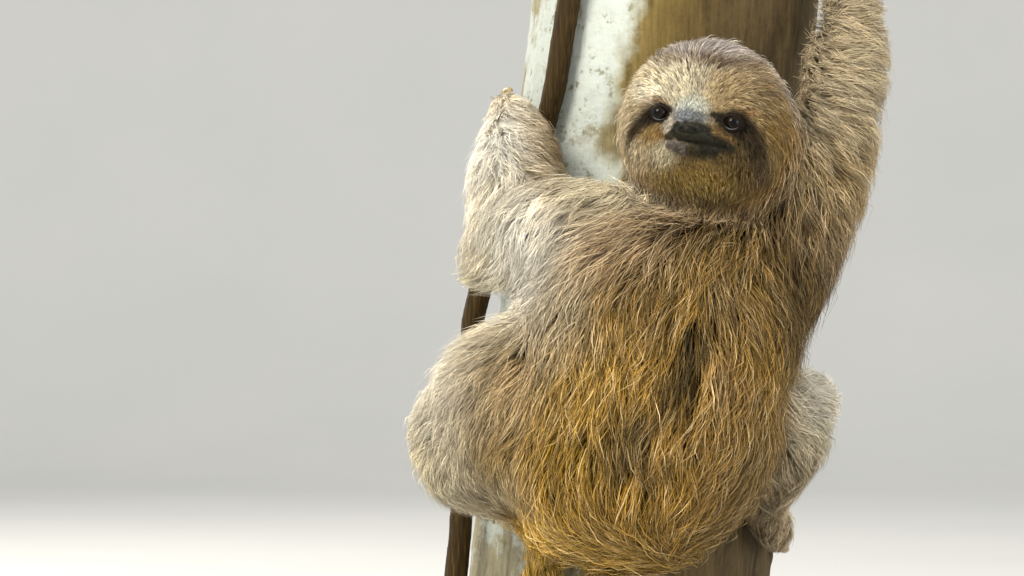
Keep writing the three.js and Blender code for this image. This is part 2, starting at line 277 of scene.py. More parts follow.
def nose_material():
    """Nose leather: bare pebbled skin, near black, moist enough for a soft highlight. The nostril pits
    are painted still darker, as the shade inside the nostrils.
    """
    made, tree, shader, place = material("nose_leather", Specular_IOR_Level=0.12, Roughness=0.4)
    # Pebbles of the nose pad are about 0.7 mm across.
    pebbles = add(tree, "TexVoronoi", Vector=place, Scale=1400.0)
    tone = ramp(tree, pebbles, (0.0, "#201f12"), (0.8, "#13120a"))
    # Painted shade: the nostril pits go near black, for the shade inside the nostrils.
    inside = stored(tree, "nostril_shade")
    deep = blend(tree, inside, tone, "#040403")
    wire(tree, deep, shader, "Base Color")
    emboss(tree, shader, pebbles, 0.5, 0.0003, invert=True)
    return made


def eye_material():
    """A sloth's eye: a wet clear cornea over a very dark brown iris and a wide pupil."""
    made, tree, shader, _ = material("wet_eye", Roughness=0.06, IOR=1.38, Specular_IOR_Level=0.14,
                                     Coat_Weight=0.12, Coat_Roughness=0.02)
    iris = stored(tree, "from_pupil")
    tone = ramp(tree, iris, (0.0, "#020201"), (0.3, "#030202"), (0.4, "#160d07"), (0.6, "#1c120a"),
                (0.7, "#080503"), (1.0, "#1d1611"))
    wire(tree, tone, shader, "Base Color")
    return made


def claw_material():
    """Claw horn: layered keratin, yellow-brown and slightly polished, darker towards its root,
    with lengthwise growth lines."""
    made, tree, shader, place = material("claw_horn", Roughness=0.35)
    # Growth lines about 1 mm apart; real ones are finer, and are drawn coarse enough to show.
    lines = add(tree, "TexNoise", Vector=place, Scale=260.0, Detail=4.0)
    tone = ramp(tree, lines, (0.3, "#6d5a3a"), (0.7, "#c2ac80"))
    # The claw turns dark brown within 4 mm of the skin, fading out by 10 mm.
    root = stored(tree, "root")
    darker_near_skin = blend(tree, root, tone, "#4f3f27")
    wire(tree, darker_near_skin, shader, "Base Color")
    emboss(tree, shader, lines, 0.3, 0.0004)
    return made


def bark_material():
    """Tropical hardwood bark, weathered: crusted with white and grey-green lichen on its left face,
    mossy gold-brown along a seam, bare brown with lengthwise streaks on the right."""
    made, tree, shader, place = material("lichened_bark", Roughness=0.85, Specular_IOR_Level=0.2)
    parts = add(tree, "SeparateXYZ", Vector=place)
    # The edges of the lichen wander by about 15 mm.
    wander = add(tree, "TexNoise", Vector=place, Scale=22.0, Detail=5.0, Roughness=0.6)
    lean = add(tree, "Math", {"operation": "MULTIPLY_ADD"}, i0=parts.outputs["Z"], i1=-0.106, i2=0.0)
    across = add(tree, "Math", {"operation": "ADD"}, i0=parts.outputs["X"], i1=lean)
    moved = add(tree, "Math", {"operation": "MULTIPLY_ADD"}, i0=wander, i1=0.05, i2=across)
    side = map_range(tree, moved, -0.105, 0.055)
    # Streaks of the bare bark: 3 mm across and 40 mm long.
    stretch = add(tree, "Mapping", Vector=place, Scale=(330.0, 330.0, 24.0))
    streaks = add(tree, "TexNoise", Vector=stretch, Scale=1.0, Detail=5.0, Roughness=0.6)
    zones = ramp(tree, side, (0.0, "#d5d9cf"), (0.33, "#b3ad88"), (0.38, "#94875a"), (0.42, "#7f6c3e"),
                 (0.52, "#705d31"), (0.64, "#5e4c2b"), (1.0, "#5f5036"))
    streaky = map_range(tree, streaks, 0.3, 0.7, 0.62, 1.16)
    wood = scaled(tree, zones, streaky)
    # Specks and scabs in the lichen, 2 to 6 mm.
    specks = add(tree, "TexNoise", Vector=place, Scale=150.0, Detail=4.0, Roughness=0.7)
    crust = ramp(tree, specks, (0.0, "#5a5744"), (0.34, "#94947f"), (0.42, "#c6cbc1"), (1.0, "#d2d9cf"))
    on_left = ramp(tree, side, (0.34, 1.0), (0.42, 0.0))
    # Weathered patches in the lichen, 30 mm or so, more of them low on the trunk.
    worn = add(tree, "TexNoise", Vector=place, Scale=34.0, Detail=6.0, Roughness=0.65)
    low = map_range(tree, parts.outputs["Z"], 0.1, 0.24, 0.14, 0.0)
    edge = map_range(tree, across, -0.125, -0.088, 0.08, 0.0)
    lower = add(tree, "Math", {"operation": "ADD"}, i0=worn, i1=low)
    bare = add(tree, "Math", {"operation": "ADD"}, i0=lower, i1=edge)
    bare_share = map_range(tree, bare, 0.56, 0.66, 0.0, 0.8)
    bared = ramp(tree, streaks, (0.3, "#5b4d2f"), (0.45, "#7f7048"), (0.6, "#8f8460"),
                 (0.75, "#b3ae92"))
    # The crust is painted darker on the far left side, as painted shade that tempers the light falling
    # there from the left.
    left_edge_shade = map_range(tree, across, -0.12, -0.085, 0.78, 1.0)
    shaded_crust = scaled(tree, crust, left_edge_shade)
    shabby = blend(tree, bare_share, shaded_crust, bared)
    mixed = blend(tree, on_left, wood, shabby)
    # Damp dark blotches and cracks in the bare bark, drawn out along the trunk.
    drawn = add(tree, "Mapping", Vector=place, Scale=(90.0, 90.0, 22.0))
    blotch = add(tree, "TexNoise", Vector=drawn, Scale=1.0, Detail=7.0, Roughness=0.7, Distortion=0.6)
    damp = ramp(tree, blotch, (0.34, 0.5), (0.45, 0.92), (0.55, 1.0), (0.68, 1.25))
    darker = multiply(tree, mixed, damp)
    trunk_tone = blend(tree, on_left, darker, mixed)
    wire(tree, trunk_tone, shader, "Base Color")
    rough = add(tree, "Math", {"operation": "ADD"}, i0=streaks, i1=specks)
    emboss(tree, shader, rough, 0.7, 0.0016)
    return made


def cut_wood_material():
    """Sawn end of the trunk: pale hardwood with growth rings about 3 mm apart and a dull sawn face."""
    made, tree, shader, place = material("sawn_hardwood", Roughness=0.75)
    centred = add(tree, "Mapping", Vector=place, Location=(0.0, -0.055, 0.0))
    rings = add(tree, "TexWave", {"wave_type": "RINGS", "rings_direction": "Z"}, Vector=centred,
                Scale=52.0, Distortion=4.5, Detail=3.0, Detail_Scale=0.5)
    tone = ramp(tree, rings.outputs["Fac"], (0.0, "#9c7e57"), (1.0, "#b99b70"))
    wire(tree, tone, shader, "Base Color")
    return made


def liana_material():
    """Woody climbing stem: thin smooth brown bark with lengthwise fibres."""
    made, tree, shader, place = material("liana_bark", Roughness=0.75, Specular_IOR_Level=0.2)
    # Fibres 1 mm across and 20 mm long.
    stretch = add(tree, "Mapping", Vector=place, Scale=(900.0, 900.0, 45.0))
    fibres = add(tree, "TexNoise", Vector=stretch, Scale=1.0, Detail=4.0)
    tone = ramp(tree, fibres, (0.25, "#1e1504"), (0.55, "#38290b"), (0.8, "#5a4417"))
    wire(tree, tone, shader, "Base Color")
    emboss(tree, shader, fibres, 0.5, 0.0008)
    return made


def lacquered_wood_material():
    """Display base: dark stained beech under a satin lacquer; grain lines 2 mm apart run along it."""
    made, tree, shader, place = material("lacquered_beech", Roughness=0.32, Coat_Weight=0.3,
                                         Coat_Roughness=0.2)
    stretch = add(tree, "Mapping", Vector=place, Scale=(12.0, 260.0, 260.0))
    grain = add(tree, "TexNoise", Vector=stretch, Scale=1.0, Detail=5.0, Roughness=0.55)
    tone = ramp(tree, grain, (0.3, "#2a1a0f"), (0.7, "#4d3521"))
    wire(tree, tone, shader, "Base Color")
    emboss(tree, shader, grain, 0.15, 0.0003)
    return made


def brushed_steel_material():
    """Stand rods: stainless steel, brushed round the rod, so its highlight is a soft vertical band."""
    made, tree, shader, place = material("brushed_steel", Base_Color=linear("#b9bcbe"), Metallic=1.0)
    stretch = add(tree, "Mapping", Vector=place, Scale=(40.0, 40.0, 2600.0))
    lines = add(tree, "TexNoise", Vector=stretch, Scale=1.0, Detail=2.0)
    rough = map_range(tree, lines, 0.0, 1.0, 0.28, 0.42)
    wire(tree, rough, shader, "Roughness")
    return made


# ---------- meshes ----------


def clear_selection():
    """Leaves edit mode with nothing selected."""
    if bpy.context.object and bpy.context.object.mode != "OBJECT":
        bpy.ops.object.mode_set(mode="OBJECT")
    bpy.ops.object.select_all(action="DESELECT")


def make_active(piece):
    """Selects one piece alone, for the next operator."""
    clear_selection()
    piece.hide_viewport = False
    piece.select_set(True)
    bpy.context.view_layer.objects.active = piece


@contextmanager
def everything_selected():
    """Edit mode for the active piece, with all of it selected."""
    bpy.ops.object.mode_set(mode="EDIT")
    bpy.ops.mesh.select_all(action="SELECT")
    yield
    bpy.ops.object.mode_set(mode="OBJECT")


def modify(piece, kind, **settings):
    """Adds a modifier and applies it."""
    make_active(piece)
    made = piece.modifiers.new(kind.lower(), kind)
    for key, value in settings.items():
        setattr(made, key, value)
    bpy.ops.object.modifier_apply(modifier=made.name)


def remesh(piece, cell):
    """Makes a piece anew from even faces, as wide as a cell in metres."""
    modify(piece, "REMESH", mode="VOXEL", voxel_size=cell, adaptivity=0)


def put_in_scene(name, data):
    """A new object for a mesh, lamp or camera, linked into the scene."""
    made = bpy.data.objects.new(name, data)
    bpy.context.scene.collection.objects.link(made)
    return made


def smooth_faces(piece):
    """Shades every face of a piece smoothly."""
    piece.data.polygons.foreach_set("use_smooth", np.ones(len(piece.data.polygons), bool))


def face_outwards(piece):
    """Turns every face of a closed piece outwards."""
    make_active(piece)
    with everything_selected():
        bpy.ops.mesh.normals_make_consistent(inside=False)


def copy_of(name, nodes):
    """One piece made from copies of CAD nodes, with their loose triangles merged."""
    clear_selection()
    copies = [put_in_scene(name, NODES[node].data.copy()) for node in nodes]
    for piece in copies:
        piece.data.materials.clear()
        piece.select_set(True)
    bpy.context.view_layer.objects.active = copies[0]
    if len(copies) > 1:
        bpy.ops.object.join()
    piece = bpy.context.view_layer.objects.active
    with everything_selected():
        bpy.ops.mesh.remove_doubles(threshold=0.00002)
    return piece


def rows_of(items, key, width, kind=np.float32):
    """What a list of Blender's items says under a key, one row of numbers for each item."""
    flat = np.zeros(len(items) * width, kind)
    items.foreach_get(key, flat)
    return flat.reshape(-1, width)


def points_of(piece):
    """The piece's points in millimetres."""
    return rows_of(piece.data.vertices, "co", 3).astype(float) / MM


def set_points(piece, points):
    """Moves the piece's points to places in millimetres."""
    piece.data.vertices.foreach_set("co", (points * MM).astype(np.float32).ravel())
    piece.data.update()


def normals_of(piece):
    """The direction that each point of the piece faces."""
    return rows_of(piece.data.vertices, "normal", 3).astype(float)


def edges_of(piece):
    """The two points of each edge of the piece."""
    return rows_of(piece.data.edges, "vertices", 2, np.int32)


def relax(values, edges, rounds):
    """Smooths values over a mesh: each round brings every point halfway to its neighbours' mean."""
    values = np.array(values, float)
    flat = values.reshape(len(values), -1)
    degree = np.bincount(edges.ravel(), minlength=len(flat)).astype(float)[:, None]
    for _ in range(rounds):
        total = np.zeros_like(flat)
        for column in range(flat.shape[1]):
            total[:, column] = np.bincount(edges[:, 0], flat[edges[:, 1], column], len(flat))
            total[:, column] += np.bincount(edges[:, 1], flat[edges[:, 0], column], len(flat))
        flat = flat + 0.5 * (total / np.maximum(degree, 1) - flat)
    return flat.reshape(values.shape)


def keep_largest_shell(piece):
    """Drops closed bubbles that a remesh leaves inside."""
    edges = edges_of(piece)
    label = np.arange(len(piece.data.vertices))
    while True:
        low = np.minimum(label[edges[:, 0]], label[edges[:, 1]])
        fresh = label.copy()
        np.minimum.at(fresh, edges[:, 0], low)
        np.minimum.at(fresh, edges[:, 1], low)
        fresh = fresh[fresh]
        if (fresh == label).all():
            break
        label = fresh
    best = np.bincount(label).argmax()
    if (label == best).all():
        return
    make_active(piece)
    bpy.ops.object.mode_set(mode="EDIT")
    bpy.ops.mesh.select_all(action="DESELECT")
    bpy.ops.object.mode_set(mode="OBJECT")
    piece.data.vertices.foreach_set("select", label != best)
    bpy.ops.object.mode_set(mode="EDIT")
    bpy.ops.mesh.select_mode(type="VERT")
    bpy.ops.mesh.delete(type="VERT")
    bpy.ops.object.mode_set(mode="OBJECT")


def subdivide_where(piece, chosen):
    """Divides the faces whose points are all chosen."""
    make_active(piece)
    bpy.ops.object.mode_set(mode="EDIT")
    bpy.ops.mesh.select_mode(type="FACE")
    bpy.ops.mesh.select_all(action="DESELECT")
    bpy.ops.object.mode_set(mode="OBJECT")
    for face in piece.data.polygons:
        face.select = all(chosen[v] for v in face.vertices)
    bpy.ops.object.mode_set(mode="EDIT")
    bpy.ops.mesh.subdivide(number_cuts=1, smoothness=0)
    bpy.ops.object.mode_set(mode="OBJECT")


def point_values(piece, name, values, kind="FLOAT"):
    """Stores one value or colour for each point of a piece."""
    if kind == "FLOAT_COLOR":
        made = piece.data.color_attributes.new(name, kind, "POINT")
        rgba = np.ones((len(values), 4), np.float32)
        rgba[:, :3] = values
        made.data.foreach_set("color", rgba.ravel())
    else:
        made = piece.data.attributes.new(name, kind, "POINT")
        made.data.foreach_set("value", np.asarray(values, np.float32).ravel())


def finish_piece(piece, finish, replaced=()):
    """Gives a piece its material and smooth shading, hangs it under the root, and hides the CAD nodes
    it replaces.
    """
    piece.data.materials.clear()
    piece.data.materials.append(finish)
    smooth_faces(piece)
    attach(piece, "root")
    if replaced:
        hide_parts(*replaced)


# ---------- camera, floor and studio light ----------

CAMERA_PLACE, AIM = (-0.0924, -2.477, 0.259), (0, 0, 0.27)  # of the lens, and what the lamps look at
FOCAL_LENGTH, SENSOR_WIDTH = 150, 36
lens = bpy.data.cameras.new("camera")
lens.lens = FOCAL_LENGTH
lens.sensor_width = SENSOR_WIDTH
camera = put_in_scene("camera", lens)
camera.location = CAMERA_PLACE
camera.rotation_euler = (math.radians(90), 0, 0)
bpy.context.scene.camera = camera


def studio():
    """A pale floor that sweeps up into a backdrop, and soft light from high on the left."""
    clear_selection()
    bpy.ops.mesh.primitive_plane_add(size=1, location=(0, 0, 0))
    floor = bpy.context.object
    floor.name = "studio_floor"
    bpy.ops.object.mode_set(mode="EDIT")
    bpy.ops.transform.resize(value=(9, 6, 1))
    bpy.ops.mesh.select_mode(type="EDGE")
    bpy.ops.mesh.select_all(action="DESELECT")
    bpy.ops.object.mode_set(mode="OBJECT")
    ends = [v.index for v in floor.data.vertices if v.co.y > 2.9]
    for edge in floor.data.edges:
        edge.select = all(v in ends for v in edge.vertices)
    bpy.ops.object.mode_set(mode="EDIT")
    steps, stride = 8, 0.22
    for step in range(steps):
        turn = math.radians(90 * (step + 0.5) / steps)
        bpy.ops.mesh.extrude_region_move(
            TRANSFORM_OT_translate={"value": (0, stride * math.cos(turn), stride * math.sin(turn))}
        )
    bpy.ops.mesh.extrude_region_move(TRANSFORM_OT_translate={"value": (0, 0, 4)})
    bpy.ops.object.mode_set(mode="OBJECT")
    smooth_faces(floor)
    made, tree, shader, place = material("studio_paper", Roughness=0.9)
    fibre = add(tree, "TexNoise", Vector=place, Scale=3.0, Detail=3.0)
    tone = ramp(tree, fibre, (0.3, "#c6c5c1"), (0.7, "#cac8c4"))
    wire(tree, tone, shader, "Base Color")
    floor.data.materials.append(made)
    for name, place, size, power, colour in (
        ("key_light", (-1.6, -1.8, 2.0), 1.2, 84, "#fffaf0"),
        ("fill_light", (1.9, -1.6, 0.6), 1.6, 30, "#f6f6f4"),
        ("rim_light", (-1.2, 1.4, 1.5), 1.0, 34, "#fffaf0"),
    ):
        lamp = bpy.data.lights.new(name, "AREA")
        lamp.shape = "SQUARE"
        lamp.size = size
        lamp.energy = power
        lamp.color = linear(colour)[:3]
        stand = put_in_scene(name, lamp)
        stand.location = place
        beam = Vector(AIM) - Vector(place)
        stand.rotation_euler = beam.to_track_quat("-Z", "Y").to_euler()
    world = bpy.data.worlds.new("studio_air")
    world.use_nodes = True
    air = world.node_tree.nodes["Background"]
    air.inputs["Color"].default_value = linear("#f1f4f6")
    air.inputs["Strength"].default_value = 1.02
    bpy.context.scene.world = world
    bpy.context.scene.view_settings.view_transform = "Standard"


studio()

# ---------- markings ----------

MILK, CREAM, OAT, BUFF = "#f6eedb", "#e6dbbd", "#cbb997", "#b99f72"
FAWN, HONEY, OCHRE, DUN = "#ac926e", "#bf983e", "#b18936", "#635037"
BRONZE, UMBER, LOAM, PAINTED_SHADE = "#8c6d30", "#6e572d", "#5c4a2a", "#2c2410"
ASH, SLATE, MASK, RUST = "#afa39e", "#8f9296", "#43351f", "#a57846"
KOHL, MUZZLE, DUSK, LILAC = "#2b2115", "#2e2b1d", "#4c432d", "#7c7167"

# Patches of the coat: x, z, reach across, reach up, colour, strength.
COAT_PATCHES = [
    (-106, 306, 30, 34, MILK, 1.6), (-104, 336, 18, 24, "#fffbf0", 2.0), (-99, 364, 16, 14, MILK, 1.6),
    (-74, 332, 14, 26, BUFF, 1.2), (-46, 306, 30, 14, CREAM, 1.1), (-85, 269, 16, 24, "#fffbf0", 4.5),
    (-64, 268, 14, 22, OAT, 0.9), (-116, 268, 20, 14, CREAM, 1.3), (-33, 280, 32, 20, FAWN, 1.3),
    (-55, 290, 22, 16, FAWN, 0.9), (-22, 241, 26, 22, BRONZE, 1.3), (4, 240, 10, 22, OCHRE, 1.2),
    (-14, 207, 20, 20, OCHRE, 1.3), (-46, 204, 22, 20, HONEY, 1.5), (-136, 208, 24, 40, MILK, 1.7),
    (-99, 200, 24, 28, BUFF, 1.4), (-112, 238, 22, 16, CREAM, 1.2), (-66, 230, 20, 22, OAT, 1.2),
    (-62, 165, 22, 24, HONEY, 1.4), (-22, 142, 30, 22, OCHRE, 1.3), (-44, 116, 40, 12, HONEY, 1.6),
    (6, 118, 26, 13, BRONZE, 1.3), (36, 216, 15, 22, OCHRE, 1.1), (63, 258, 20, 36, UMBER, 1.5),
    (40, 262, 20, 24, BRONZE, 1.0), (16, 272, 24, 16, BRONZE, 1.2), (55, 224, 18, 26, UMBER, 1.1),
    (47, 181, 22, 28, BRONZE, 1.0), (27, 148, 24, 20, UMBER, 1.0), (2, 168, 22, 24, OCHRE, 0.9),
    (80, 198, 17, 24, MILK, 1.7), (74, 172, 16, 14, CREAM, 1.4), (68, 152, 18, 16, OAT, 1.3),
    (100, 397, 28, 34, OAT, 1.5), (94, 356, 28, 28, OAT, 1.2), (96, 314, 26, 26, BUFF, 1.2),
    # The cream at x -106, z 146 and the bright gold at x -82, z 114, under the left thigh and on the
    # left shank, are the fur's own pale and golden colours painted lighter still, as painted light from
    # below.
    (86, 280, 20, 20, FAWN, 1.1), (-134, 160, 18, 16, CREAM, 1.4), (-106, 146, 20, 16, CREAM, 1.5),
    # The small, strong, near black patches from x 10, z 233 down to x -8, z 196 paint the shade in two
    # partings of the coat; the dark band at z 281 to 283 paints the shade under the head.
    (-99, 161, 13, 12, HONEY, 1.2), (-82, 114, 16, 18, "#e8bd50", 3.4), (10, 233, 4.5, 6, PAINTED_SHADE, 4.0),
    (3, 225, 5, 8, PAINTED_SHADE, 5.0), (-1, 216, 4, 6, PAINTED_SHADE, 3.0), (-2, 204, 5, 5, PAINTED_SHADE, 4.0),
    (-8, 196, 6, 6, PAINTED_SHADE, 5.0), (20, 246, 7, 9, UMBER, 2.0), (-22, 178, 5, 11, LOAM, 3.5),
    (-34, 176, 5, 9, UMBER, 2.5), (-36, 158, 6, 12, UMBER, 1.8), (-18, 158, 5, 9, UMBER, 2.0),
    (-8, 283, 9, 5, LOAM, 2.5), (8, 282, 14, 5, PAINTED_SHADE, 3.0), (24, 281, 12, 5, LOAM, 2.5),
]
# Patches of the head, in its own frame: right, up, reach right, reach up, colour, strength.
FACE_PATCHES = [
    (0, 44, 40, 12, ASH, 1.6), (-37, 24, 12, 18, OAT, 1.2), (-30, 38, 14, 12, ASH, 1.0),
    (-24, 29, 9, 3.5, UMBER, 1.5), (2, 31.5, 12, 2.6, UMBER, 1.6), (22, 31, 9, 3, UMBER, 1.2),
    (31, 17, 4.5, 6, UMBER, 1.8), (34, 28, 14, 16, FAWN, 1.3), (44, 4, 10, 22, BRONZE, 1.2),
    (-42, -4, 7, 22, OAT, 1.1),
    (-11, 18, 15, 9, "#d6ccb0", 2.0), (15, 18, 12, 8, BUFF, 1.6), (-28, 11, 9, 5, "#e9e0c8", 2.0),
    (27, 13, 10, 5, BUFF, 1.2), (-2, 7, 7, 5, "#cfd2c6", 2.4), (-5, 1, 5, 3.4, SLATE, 2.6),
    (3, 0, 5, 3.2, "#8c8c82", 2.2), (-22, 7.8, 4.6, 1.8, RUST, 2.2), (26, 7.2, 4, 2, RUST, 2.0),
    (18, 8.6, 7, 2.2, BUFF, 1.8), (-28, 4.5, 3, 2.5, FAWN, 1.5), (-13, -5.5, 2.6, 4.5, "#d3c8b6", 2.2),
    (-22.5, -12, 6.5, 4.5, "#ad8b4e", 1.8), (-16.5, -11.6, 2.6, 2, "#8f5c2c", 1.8),
    (-13, -21.5, 8, 6, CREAM, 2.0), (4, -31, 20, 9, "#a88a45", 1.9), (25, -27, 11, 9, UMBER, 1.5),
    (-29, -21, 7, 8, OAT, 1.2), (25, -15, 6, 7, "#66532f", 2.0), (16, -5.5, 4, 3, "#7d6038", 1.8),
    # The loam band at right 4, up -43, along the underside of the chin, is painted shade.
    (20.5, -9, 3.4, 2.4, "#94703a", 1.6), (-30, -36, 10, 8, FAWN, 1.0), (4, -43, 30, 8, LOAM, 1.7),
    (-1, -22, 11, 4.2, "#6a5538", 1.8),
]
# The dark band runs from each eye out and down; the muzzle is dark round the nose and mouth, with a
# grey lower lip. Strokes: right, up, reach, colour.
FACE_STROKES = [
    (-2.4, 0.6, 4.2, SLATE), (3, 0.2, 3.6, "#7d7f7c"), (-24, -1.6, 5.1, "#3a2d1b"),
    (-27, -4, 4.7, "#3f3120"), (-20, 1, 6.2, KOHL), (-14.8, 2.8, 2.8, KOHL), (-30, -6.5, 3.6, MASK),
    (-32, -9.6, 3.1, MASK), (-33.2, -12.6, 2.7, MASK), (-34, -16, 2, MASK), (-34.6, -20, 1.6, MASK),
    (28, -4.4, 5.4, MASK), (25, -1.6, 6.2, KOHL), (14, 2.4, 3.2, KOHL), (10.8, 3.4, 2, KOHL),
    (16.5, 1, 4, KOHL), (21.3, 1.2, 7, KOHL), (27.5, -3.6, 4.4, KOHL), (31, -7.4, 4.8, MASK),
    (32.4, -11, 4.3, MASK), (33, -15, 4, MASK), (33.6, -20, 3.7, DUN), (34.4, -25.5, 3.3, DUN),
    (35, -30, 2.3, DUN), (-10.5, -15.6, 2.8, LILAC), (-6.5, -16.4, 3.4, LILAC),
    (-2.4, -17.2, 3.4, LILAC), (3, -17.4, 3.6, DUSK), (8, -18, 3.6, DUSK), (13, -17, 3.4, DUSK),
    (-13.4, -12.6, 1.6, "#6b4f33"), (-6.4, -6.6, 3.4, MUZZLE), (-2, -6.4, 4.4, MUZZLE),
    (4, -6.4, 4.4, MUZZLE), (8, -6.8, 3.8, MUZZLE), (-8.4, -9.8, 2.8, MUZZLE),
    (-11, -11.6, 2.2, "#4d4334"), (-4.6, -10.8, 3.2, MUZZLE), (0, -10.9, 3.8, MUZZLE),
    (5, -11, 4.2, MUZZLE), (10, -11.2, 4.2, MUZZLE), (14, -11.8, 4, MUZZLE), (18, -12.8, 3.7, MUZZLE),
    (21.5, -13.2, 2.6, MUZZLE), (14, -15, 3.4, MUZZLE), (9, -15.6, 3, MUZZLE),
]


# Weight of the plain ground colour under the patches.
GROUND_WEIGHT = 0.12


def blend_patches(across, up, patches, ground):
    """Colour at places where soft patches lie over a plain ground, each by its weight there."""
    total = np.full(len(across), GROUND_WEIGHT)
    colour = np.repeat((rgb(ground) * GROUND_WEIGHT)[None], len(across), 0)
    for middle, height, wide, high, code, strength in patches:
        weight = strength * np.exp(-(((across - middle) / wide) ** 2) - ((up - height) / high) ** 2)
        weight = weight**1.5
        total += weight
        colour += weight[:, None] * rgb(code)
    return colour / total[:, None]


def mix(first, second, share):
    """The first where share is 0, the second where it is 1."""
    return first * (1 - share) + second * share


def markings(points, head_share):
    """Coat colour at points, the same for skin and hair. head_share is 1 on the head, 0 off it."""
    body = blend_patches(points[:, 0], points[:, 2], COAT_PATCHES, FAWN)
    # Belly and inner sides, against the trunk, are paler and duller.
    inner = smoothstep(points[:, 1], -45, -5)[:, None]
    body = mix(body, rgb(OAT), 0.6 * inner)
    right, forward, up = to_head(points).T
    front = smoothstep(forward, -4, 14)
    face = blend_patches(right, up, FACE_PATCHES, BUFF)
    # The long hair behind the cheeks is grey-brown above and golden brown below.
    low = smoothstep(-up, -22, 4) * smoothstep(right, -40, 10)
    ruff = mix(rgb("#a5988a"), rgb("#8f6c36"), low[:, None])
    face = mix(ruff, face, front[:, None])
    for stroke_right, stroke_up, reach, code in FACE_STROKES:
        away = np.hypot(right - stroke_right, up - stroke_up)
        cover = (1 - smoothstep(away, 0.65 * reach, 1.35 * reach)) * front
        face = mix(face, rgb(code), cover[:, None])
    coat = mix(body, face, head_share[:, None])
    # Tufts differ in tone over 12 mm or so, less on the face; the darker spots of this mottle also
    # stand for painted shade in the gaps between tufts.
    mottle = np.array([noise.noise(Vector(p / 12)) + 0.6 * noise.noise(Vector(p / 5)) for p in points])
    return coat * (1 + 0.34 * mottle * (1 - 0.6 * head_share))[:, None]


# ---------- the lie of the coat ----------

STROKE_REACH = 11.0  # how far a comb stroke is felt
